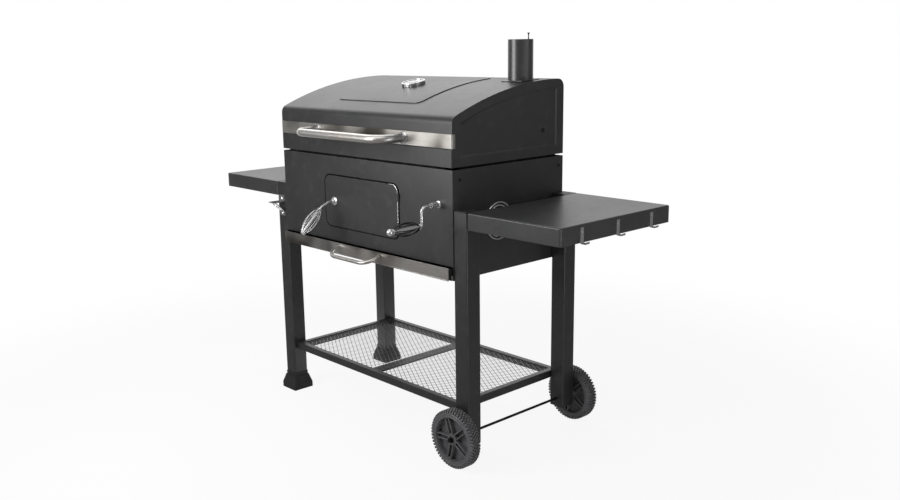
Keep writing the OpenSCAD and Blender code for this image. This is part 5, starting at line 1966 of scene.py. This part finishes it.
@dataclass
class Crank:
    """The crank with its pinions, sleeve and grip, and the pan that it lifts."""

    rod_r: float = 0.004
    reach: float = 0.068
    arm: float = 0.056
    bend_r: float = 0.016
    elbow_r: float = 0.0062
    spacer: float = 0.003
    ball_r: float = 0.010
    grip_l: float = 0.102
    sleeve: float = 0.032
    mouth: float = 0.012
    mouth_wall: float = 0.0014
    bush_wall: float = 0.004
    bush_nose: float = 0.0006
    bush_back: float = 0.0055
    flange_t: float = 0.004
    teeth: int = 12
    module: float = 0.003
    tooth_shape: tuple[float, float] = (0.25, 0.09)
    pinion_w: float = 0.010
    pinion_set: float = 0.090

    def __post_init__(self) -> None:
        """Finds the shaft's line."""
        bushes = Span.of("crank_bushes")
        self.shaft = Vector((bushes.middle.x, PLACE.front, bushes.middle.z))
        self.flange_r = bushes.size.z / 2

    def build(self) -> None:
        """Builds and fits the crank, the bushes, the grip and the lifting parts."""
        span = Span.of("crank")
        low = self.shaft + Vector((0, -self.reach, -self.arm))
        end = span.low.y + self.ball_r
        grip_y = -self.spacer - self.rod_r
        shaft_end = (self.shaft.x, span.high.y, self.shaft.z)
        corners = [shaft_end, low + Z_AXIS * self.arm, low, low + Y_AXIS * (grip_y + 0.0004)]
        crank = bent_rod("crank_rod", corners, self.rod_r, (self.bend_r, self.elbow_r))
        pin = Run("crank_pin", low + Y_AXIS * grip_y, (0, -1, 0), self.rod_r - 0.0005, 20)
        made = [crank, pin.straight(low.y + grip_y - end).end(), self.ball(Vector((low.x, end, low.z)))]
        handle = Piece.gather("crank_handle", [*made, *self.pinions()])
        handle.dress(PALE_TUBE, 35).fit("crank", "crank", slot="chrome")
        # The crank's cage wires take the black copy of the wire: painted shade.
        grip = CageGrip(self.grip_l, self.rod_r - 0.0004, PALE_TUBE, SHADED_CAGE_WIRE).build("crank_cage")
        grip.stand(low + Y_AXIS * grip_y, -Y_AXIS).fit("crank_grip", "crank_grip")
        self.bushes()
        softened("charcoal_pan", "lift", ENAMEL, 0.0008)
        softened("lift_frame", "lift", COAT, 0.0006)
        softened("warming_rack", "rack", CHROME, 0.0004)
        softened("rack_links", "links", CHROME, 0.0004)

    def ball(self, centre: Vector) -> Piece:
        """The ball on the crank's end."""
        steps = [math.radians(10 * n) for n in range(19)]
        outline = [(self.ball_r * math.sin(a), -self.ball_r * math.cos(a)) for a in steps]
        return turned("crank_ball", outline, centre, Axis.Y, 32)

    def pinions(self) -> list[Piece]:
        """The two toothed pinions; one is cut and copied."""
        pitch_r, step = self.teeth * self.module / 2, 360 / self.teeth
        root, tip = pitch_r - self.module, pitch_r + 0.8 * self.module
        foot, land = self.tooth_shape
        shape = ((-foot, root), (-land, tip), (land, tip), (foot, root))
        y = self.shaft.y + self.pinion_set - self.pinion_w / 2
        spots = []
        for tooth in range(self.teeth):
            for share, radius in shape:
                angle = math.radians(180 / self.teeth + 180 + (tooth + share) * step)
                across, up = radius * math.cos(angle), radius * math.sin(angle)
                spots.append((self.shaft.x + across, y, self.shaft.z + up))
        gear = Piece.point("pinion", spots[0]).trace(spots[1:] + spots[:1]).merge()
        gear.all().fill().extrude((0, self.pinion_w, 0))
        gear.outward().soften(0.0004, 2, 50)
        apart = PLACE.back - PLACE.front - 2 * self.pinion_set
        return [gear, gear.twin("pinion_rear").all().move((0, apart, 0))]

    def bushes(self) -> None:
        """The long front sleeve, open round the shaft, and the rear bush."""
        inner, tube, flange = self.rod_r + 0.0001, self.rod_r + self.bush_wall, self.flange_r
        t, nose, bore, back = self.flange_t, self.bush_nose, tube - self.mouth_wall, self.bush_back
        tip, depth = -self.sleeve, PLACE.back - PLACE.front
        front = [
            (inner, tip + self.mouth), (bore, tip + self.mouth), (bore, tip + nose),
            (tube - self.mouth_wall / 2, tip), (tube, tip + nose), (tube, -t - nose), (flange - nose, -t),
            (flange, -t + nose), (flange, -0.0001), (tube, -0.0001), (tube, back), (inner, back),
        ]
        rear = [
            (inner, depth - back), (tube, depth - back), (tube, depth + 0.0001), (flange, depth + 0.0001),
            (flange, depth + t - nose), (flange - nose, depth + t), (inner, depth + t),
        ]
        sleeve = turned("crank_sleeve", front, self.shaft, Axis.Y, 32)
        sleeve.join(turned("rear_bush", rear, self.shaft, Axis.Y, 32))
        sleeve.dress(PALE_TUBE, 30).fit("cart", "crank_bushes")


# ---------------------------------------------------------------- ash drawer


@dataclass
class AshDrawer:
    """The drawer's tray, its hemmed front strip and its tube handle."""

    hem: float = 0.0024
    hem_depth: float = 0.0005
    tube_r: float = 0.0061
    bend_r: float = 0.044
    droop: float = 20.0

    def build(self) -> None:
        """Builds and fits the drawer."""
        softened("ash_drawer", "drawer", ENAMEL, 0.0008)
        softened("drawer_runners", "cart", STEEL, 0.0004)
        span = Span.of("drawer_front")
        strip = Piece.block("drawer_strip", span.low, span.high)
        strip.faces((0, -1, 0)).inset(self.hem).inset(0.0004, -self.hem_depth)
        strip.soften(0.00035, 3, 25).dress(STEEL, 30).fit("drawer", "drawer_front", slot="brushed_steel")
        handle = Span.of("drawer_handle")
        seat = handle.high.z - self.tube_r / math.cos(math.radians(self.droop))
        bow = BentHandle("drawer_bow", "drawer_handle", self.tube_r, self.bend_r, seat, self.droop)
        bow.build().dress(TUBE_STEEL, 30).fit("drawer", "drawer_handle")


# ---------------------------------------------------------------- wheels


@dataclass
class Wheels:
    """Moulded wheels with double spokes and a blocky tread; the rear one is the front one mirrored."""

    rim_r: float = 0.067
    tread_depth: float = 0.0042
    shoulder: float = 0.007
    hub_r: float = 0.017
    bore_r: float = 0.0042
    web_t: float = 0.003
    lugs: int = 54
    lug_rows: tuple[float, ...] = (0.23, 0.42, 0.61, 0.80)
    lug_w: float = 0.16
    lug_first: float = 0.2
    lug_edge: float = 0.0008
    lug_sunk: float = 0.0004
    lug_share: float = 0.7
    lug_taper: tuple[float, float] = (0.88, 0.78)
    lug_round: float = 0.0026
    spokes: int = 5
    spoke_angle: float = 40.0
    spoke_apart: float = 0.014
    spoke_w: float = 0.0044
    spoke_front: float = 0.0050
    spoke_back: float = 0.006
    spoke_round: float = 0.0012

    def __post_init__(self) -> None:
        """Takes the wheel's size and centre from the front one."""
        span = Span.of("wheel_front")
        self.radius = span.size.z / 2
        self.width = span.size.y
        self.centre = Vector((span.middle.x, span.low.y, span.middle.z))

    def build(self) -> None:
        """Builds, copies and fits the wheels."""
        tyre, hub = self.tyre(), self.hub()
        spokes = self.spoke_pair().around(self.spokes, "Y", self.centre)
        front = Piece.gather("wheel_front_moulding", [tyre, hub, *spokes, *self.tread()])
        mirror = (self.centre.y + Span.of("wheel_rear").high.y) / 2
        rear = front.mirrored("wheel_rear_moulding", 1, mirror)
        for wheel, node in ((front, "wheel_front"), (rear, "wheel_rear")):
            wheel.dress(TYRE_PLASTIC, 32).fit(node, node, slot="black_plastic")

    def tyre(self) -> Piece:
        """The tyre, its rim and the closed web between the spokes."""
        base, w, rim = self.radius - self.tread_depth, self.width, self.rim_r
        face, ledge, web = base - self.shoulder, 0.0012, w / 2
        outline = [
            (self.hub_r - 0.004, web), (rim - 0.001, web), (rim - 0.0006, 0.004), (rim + 0.0006, 0.0008),
            (rim + 0.0022, 0.0002), (rim + 0.0034, ledge), (face - 0.004, ledge * 1.3),
            (face - 0.0016, 0.0004),
            (face, 0.0), (face + 0.0014, 0.0006), (base, self.shoulder), (base, w - self.shoulder),
            (face + 0.0014, w - 0.0006), (face, w), (rim + 0.001, w), (rim - 0.0006, w - 0.002),
            (rim - 0.001, web + self.web_t), (self.hub_r - 0.004, web + self.web_t),
        ]
        return turned("tyre", outline, self.centre, Axis.Y, 96)

    def hub(self) -> Piece:
        """The hub with a rounded lip and a recess round the nut."""
        w, r = self.width, self.hub_r
        outline = [
            (self.bore_r, 0.0035), (0.0088, 0.0035), (0.0092, 0.0028), (r - 0.0026, 0.0024),
            (r - 0.0008, 0.0032), (r, 0.005), (r + 0.0006, w - 0.0006), (r, w), (self.bore_r, w),
        ]
        return turned("hub", outline, self.centre, Axis.Y, 48)

    def spoke_pair(self) -> Piece:
        """Two ribs that close in a round bow near the rim, raised from the web."""
        half, w, lip = self.spoke_apart / 2, self.spoke_w, self.spoke_round
        inner, outer = self.hub_r - 0.003, self.rim_r + 0.001
        front, back = self.spoke_front, self.width - self.spoke_back
        low, high = (inner, front, -half - w / 2), (outer, back, half + w / 2)
        c, sunk = self.centre, self.width / 2 - 0.001
        rib = Piece.block("spoke_0", c + Vector(low), c + Vector(high))
        rib.faces((0, -1, 0)).inset(w).extrude((0, sunk - front, 0))
        rib.faces((0, 1, 0), lambda at: at.y > c.y + back - 0.0001)
        rib.inset(w).extrude((0, self.width / 2 + self.web_t + 0.001 - back, 0))
        rib.edges(lambda at: near(at.y, c.y + front), along=X_AXIS).bevel(lip, 2)
        rib.corners(lambda at: at.x < c.x + inner + 0.006 and at.y < c.y + front + 0.0001)
        rib.move((0, -lip, 0)).soften(0.0007, 2, 40)
        return rib.all().turn(-self.spoke_angle, "Y", c)

    def tread(self) -> list[Piece]:
        """Rows of bevelled blocks round the tyre, every second row set half a step on."""
        w, made = self.width, []
        top, edge = self.radius - self.lug_sunk, self.lug_edge
        half = math.pi * self.radius / self.lugs * self.lug_share
        last = len(self.lug_rows)
        for row, share in enumerate((0.0, *self.lug_rows)):
            y0 = w * share if row else edge
            y1 = min(y0 + w * self.lug_w, w) if row else w * self.lug_first
            y1 = w - edge if row == last else y1
            outer = row in (0, last)
            base = self.radius - self.tread_depth - (self.shoulder if outer else 0.0006)
            low, high = self.centre + Vector((base, y0, -half)), self.centre + Vector((top, y1, half))
            lug = Piece.block(f"lug_{row}", low, high)
            middle = self.centre + Vector((top, (y0 + y1) / 2, 0))
            lug.faces((1, 0, 0)).scale((1, *self.lug_taper), middle)
            if outer:
                rim_y = self.centre.y + (y0 if row == 0 else y1)
                low_x = self.centre.x + top - 0.001
                lug.edges(lambda at: at.x > low_x and near(at.y, rim_y, 0.0012), along=Z_AXIS)
                lug.bevel(self.lug_round, 2)
            lug.soften(0.0005, 1)
            lug.all().turn((row % 2) * 180 / self.lugs, "Y", self.centre)
            ring = lug.around(self.lugs, "Y", self.centre)
            made.append(ring[0].join(*ring[1:]))
        return made


# ---------------------------------------------------------------- vents


@dataclass
class Vents:
    """The turning air vents on the firebox's sides: one is made, the other mirrored."""

    plate_t: float = 0.002
    bead_w: float = 0.0042
    bead_h: float = 0.005
    inner_share: float = 0.84
    holes: int = 4
    hole_ring: float = 0.56
    hole_r: float = 0.17
    pivot_r: float = 0.0032
    tab_half: float = 0.005
    tab_t: float = 0.003
    tab_set: float = 0.009
    tab_round: float = 0.0035

    def build(self) -> None:
        """Builds and fits both vents."""
        span = Span.of("vent_right")
        radius = span.size.z / 2
        seat = Vector((span.low.x, span.middle.y, span.middle.z))
        vent = self.plate(seat, radius, span.high.x)
        left = vent.mirrored("vent_left_plate", 0, PLACE.middle_x)
        beads = self.beads(seat, radius)
        left_beads = beads.mirrored("vent_left_beads", 0, PLACE.middle_x)
        for body, plate, rims in (("vent_right", vent, beads), ("vent_left", left, left_beads)):
            plate.dress(COAT, 30).fit(body, body)
            rims.dress(PALE_TUBE, 35).fit(body)

    def plate(self, seat: Vector, radius: float, reach: float) -> Piece:
        """The round plate with its air holes and thumb tab."""
        bore, rim = self.pivot_r, radius - 0.0004
        outline = [(bore, 0.0), (rim, 0.0), (rim, self.plate_t), (bore, self.plate_t)]
        plate = turned("vent_right_plate", outline, seat, Axis.X, 96)
        low = seat - X_AXIS * 0.01 + Z_AXIS * radius * self.hole_ring
        hole = Piece.rod("air_hole", radius * self.hole_r, low, X_AXIS, 0.02)
        plate.cut(*hole.around(self.holes, "X", seat))
        low = seat + Vector((self.plate_t - 0.0002, -self.tab_half, -radius + self.tab_set))
        tab = Piece.block("thumb_tab", low, (reach, seat.y + self.tab_half, low.z + self.tab_t))
        tab.edges(lambda at: near(at.x, reach), along=Z_AXIS).bevel(self.tab_round, 4)
        return plate.soften(0.0003, 2).join(tab.soften(0.0005, 2))

    def beads(self, seat: Vector, radius: float) -> Piece:
        """Two half-round rims raised from the plate."""
        made = []
        base, half = self.plate_t - 0.0002, self.bead_w / 2
        curve = [math.radians(22.5 * n) for n in range(9)]
        for outer, height in ((radius, self.bead_h), (radius * self.inner_share, self.bead_h - 0.001)):
            rise = height - base
            outline = [(outer - half + half * math.cos(a), base + rise * math.sin(a)) for a in curve]
            made.append(turned(f"bead_{len(made)}", outline, seat, Axis.X, 96))
        return Piece.gather("vent_right_beads", made)


# ---------------------------------------------------------------- studio


@dataclass(frozen=True)
class Lamp:
    """A square soft light that the camera doesn't see."""

    name: str
    at: Point
    towards: Point
    size: float
    watts: float

    def hang(self) -> None:
        """Adds the light to the scene."""
        data = bpy.data.lights.new(self.name, "AREA")
        data.size, data.energy = self.size, self.watts
        lamp = bpy.data.objects.new(self.name, data)
        bpy.context.scene.collection.objects.link(lamp)
        lamp.visible_camera = False
        lamp.location = self.at
        lamp.rotation_euler = (Vector(self.at) - Vector(self.towards)).to_track_quat("Z", "Y").to_euler()


@dataclass(frozen=True)
class Studio:
    """A pale floor, soft lights, a white surround and the camera."""

    camera_at: Point = (2.3314, -2.00479, 1.23805)
    yaw: float = 48.35
    pitch: float = -12.48
    roll: float = -1.1
    lens: float = 37.624
    shift: tuple[float, float] = (0.0327, 0.0021)
    floor_tone: Tone = (0.86, 0.86, 0.86)
    fill: float = 0.18
    dim: float = 0.18
    backdrop: Point = (-0.747, 0.665, 0.0)
    paper_share: float = 0.1
    lamps: tuple[Lamp, ...] = (
        Lamp("rear_overhead", (-1.7, 0.8, 3.0), (0.0, 0.0, 0.9), 2.8, 34),
        Lamp("front_overhead", (0.6, -1.6, 3.2), (0.0, 0.0, 0.6), 2.4, 24),
        Lamp("front_left", (-0.36, -1.52, 1.21), (0.15, 0.0, 0.95), 0.88, 16.5),
        Lamp("right", (3.2, 0.8, 1.8), (0.2, 0.0, 0.7), 1.6, 9),
        Lamp("edge", (2.6, -0.5, 0.3), (-0.1, -0.1, 0.75), 0.55, 8),
    )

    def build(self) -> None:
        """Sets up everything round the cart."""
        self.view()
        self.floor()
        self.surround()
        for lamp in self.lamps:
            lamp.hang()

    def view(self) -> None:
        """Places the camera."""
        data = bpy.data.cameras.new("camera")
        data.lens, data.sensor_width = self.lens, 36.0
        data.shift_x, data.shift_y = self.shift
        camera = bpy.data.objects.new("camera", data)
        bpy.context.scene.collection.objects.link(camera)
        yaw, pitch, roll = (math.radians(a) for a in (self.yaw, self.pitch, self.roll))
        forward = Vector((-math.sin(yaw) * math.cos(pitch), math.cos(yaw) * math.cos(pitch), math.sin(pitch)))
        right = Vector((math.cos(yaw), math.sin(yaw), 0))
        up = right.cross(forward)
        across = right * math.cos(roll) + up * math.sin(roll)
        rise = up * math.cos(roll) - right * math.sin(roll)
        turned = Matrix((across, rise, -forward)).transposed().to_4x4()
        camera.matrix_world = Matrix.Translation(self.camera_at) @ turned
        bpy.context.scene.camera = camera

    def glow(self, bench: NodeBench, way: Wire) -> Wire:
        """How bright the surround looks to a reflection: white behind the cart, dim in front of it.

        Args:
            bench: the node bench.
            way: the direction from the cart.

        Returns:
            The strength.
        """
        even = bench.vector("NORMALIZE", way, output="Vector")
        towards = bench.vector("DOT_PRODUCT", even, self.backdrop)
        return towards.ramp(0.45, 0.85) * (1.0 - self.dim) + self.dim

    def seen(self, bench: NodeBench, way: Wire) -> tuple[Wire, Wire]:
        """Tells what sees the surround itself, and how bright it is then.

        Args:
            bench: the node bench.
            way: the direction from the cart.

        Returns:
            1 for camera, glossy and transmission rays, and the strength.
        """
        camera, glossy, through = (
            bench.node("ShaderNodeLightPath", output=name)
            for name in ("Is Camera Ray", "Is Glossy Ray", "Is Transmission Ray")
        )
        direct = camera.most(through)
        return direct.most(glossy), direct.most(self.glow(bench, way))

    def floor(self) -> None:
        """A wide paper floor that is white to the eye and keeps a soft shadow."""
        floor = Piece.disc("studio_floor", 30.0, (0, 0, 0), Z_AXIS, 96)
        floor.all().inset(14.0).inset(12.0)
        made = bpy.data.materials.new("floor_paper")
        made.use_nodes = True
        bench = NodeBench(made.node_tree)
        where = bench.place()
        reach = bench.vector("LENGTH", where)
        paper = bench.noise(where, 30.0, 3.0)
        colour = bench.blend(paper, self.floor_tone, tinted(self.floor_tone, 0.985))
        plain = bench.node("ShaderNodeBsdfDiffuse", None, {"Color": colour})
        direct, strength = self.seen(bench, where)
        white = bench.node("ShaderNodeEmission", None, {"Color": (1, 1, 1, 1), "Strength": strength})
        share = reach.ramp(1.1, 2.4) * self.paper_share + (1.0 - self.paper_share)
        mix = bench.node("ShaderNodeMixShader", None, {0: direct * share, 1: plain, 2: white})
        bench.node("ShaderNodeOutputMaterial", None, {"Surface": mix})
        floor.obj.data.materials.append(made)
        floor.only()

    def surround(self) -> None:
        """White for the camera, shaded for reflections and softer as light."""
        world = bpy.data.worlds.new("surround")
        world.use_nodes = True
        bpy.context.scene.world = world
        bench = NodeBench(world.node_tree)
        way = bench.node("ShaderNodeTexCoord", output="Generated")
        direct, strength = self.seen(bench, way)
        level = direct * (strength - self.fill) + self.fill
        shade = bench.node("ShaderNodeBackground", None, {"Color": (1, 1, 1, 1), "Strength": level})
        bench.node("ShaderNodeOutputWorld", None, {"Surface": shade})


def main() -> None:
    """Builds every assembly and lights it."""
    logging.basicConfig(level=logging.INFO, format="%(name)s %(message)s")
    bpy.context.scene.view_settings.view_transform = "Standard"
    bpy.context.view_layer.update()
    form = LidForm()
    for part in (
        Stand(),
        SideTables(),
        WireShelf(),
        Firebox(),
        Lid(form),
        LidFittings(),
        Thermometer(form),
        Chimney(form),
        CharcoalDoor(),
        Crank(),
        AshDrawer(),
        Wheels(),
        Vents(),
    ):
        part.build()
        LOG.info("%s finished", type(part).__name__)
    Studio().build()


if __name__ == "__main__":
    main()
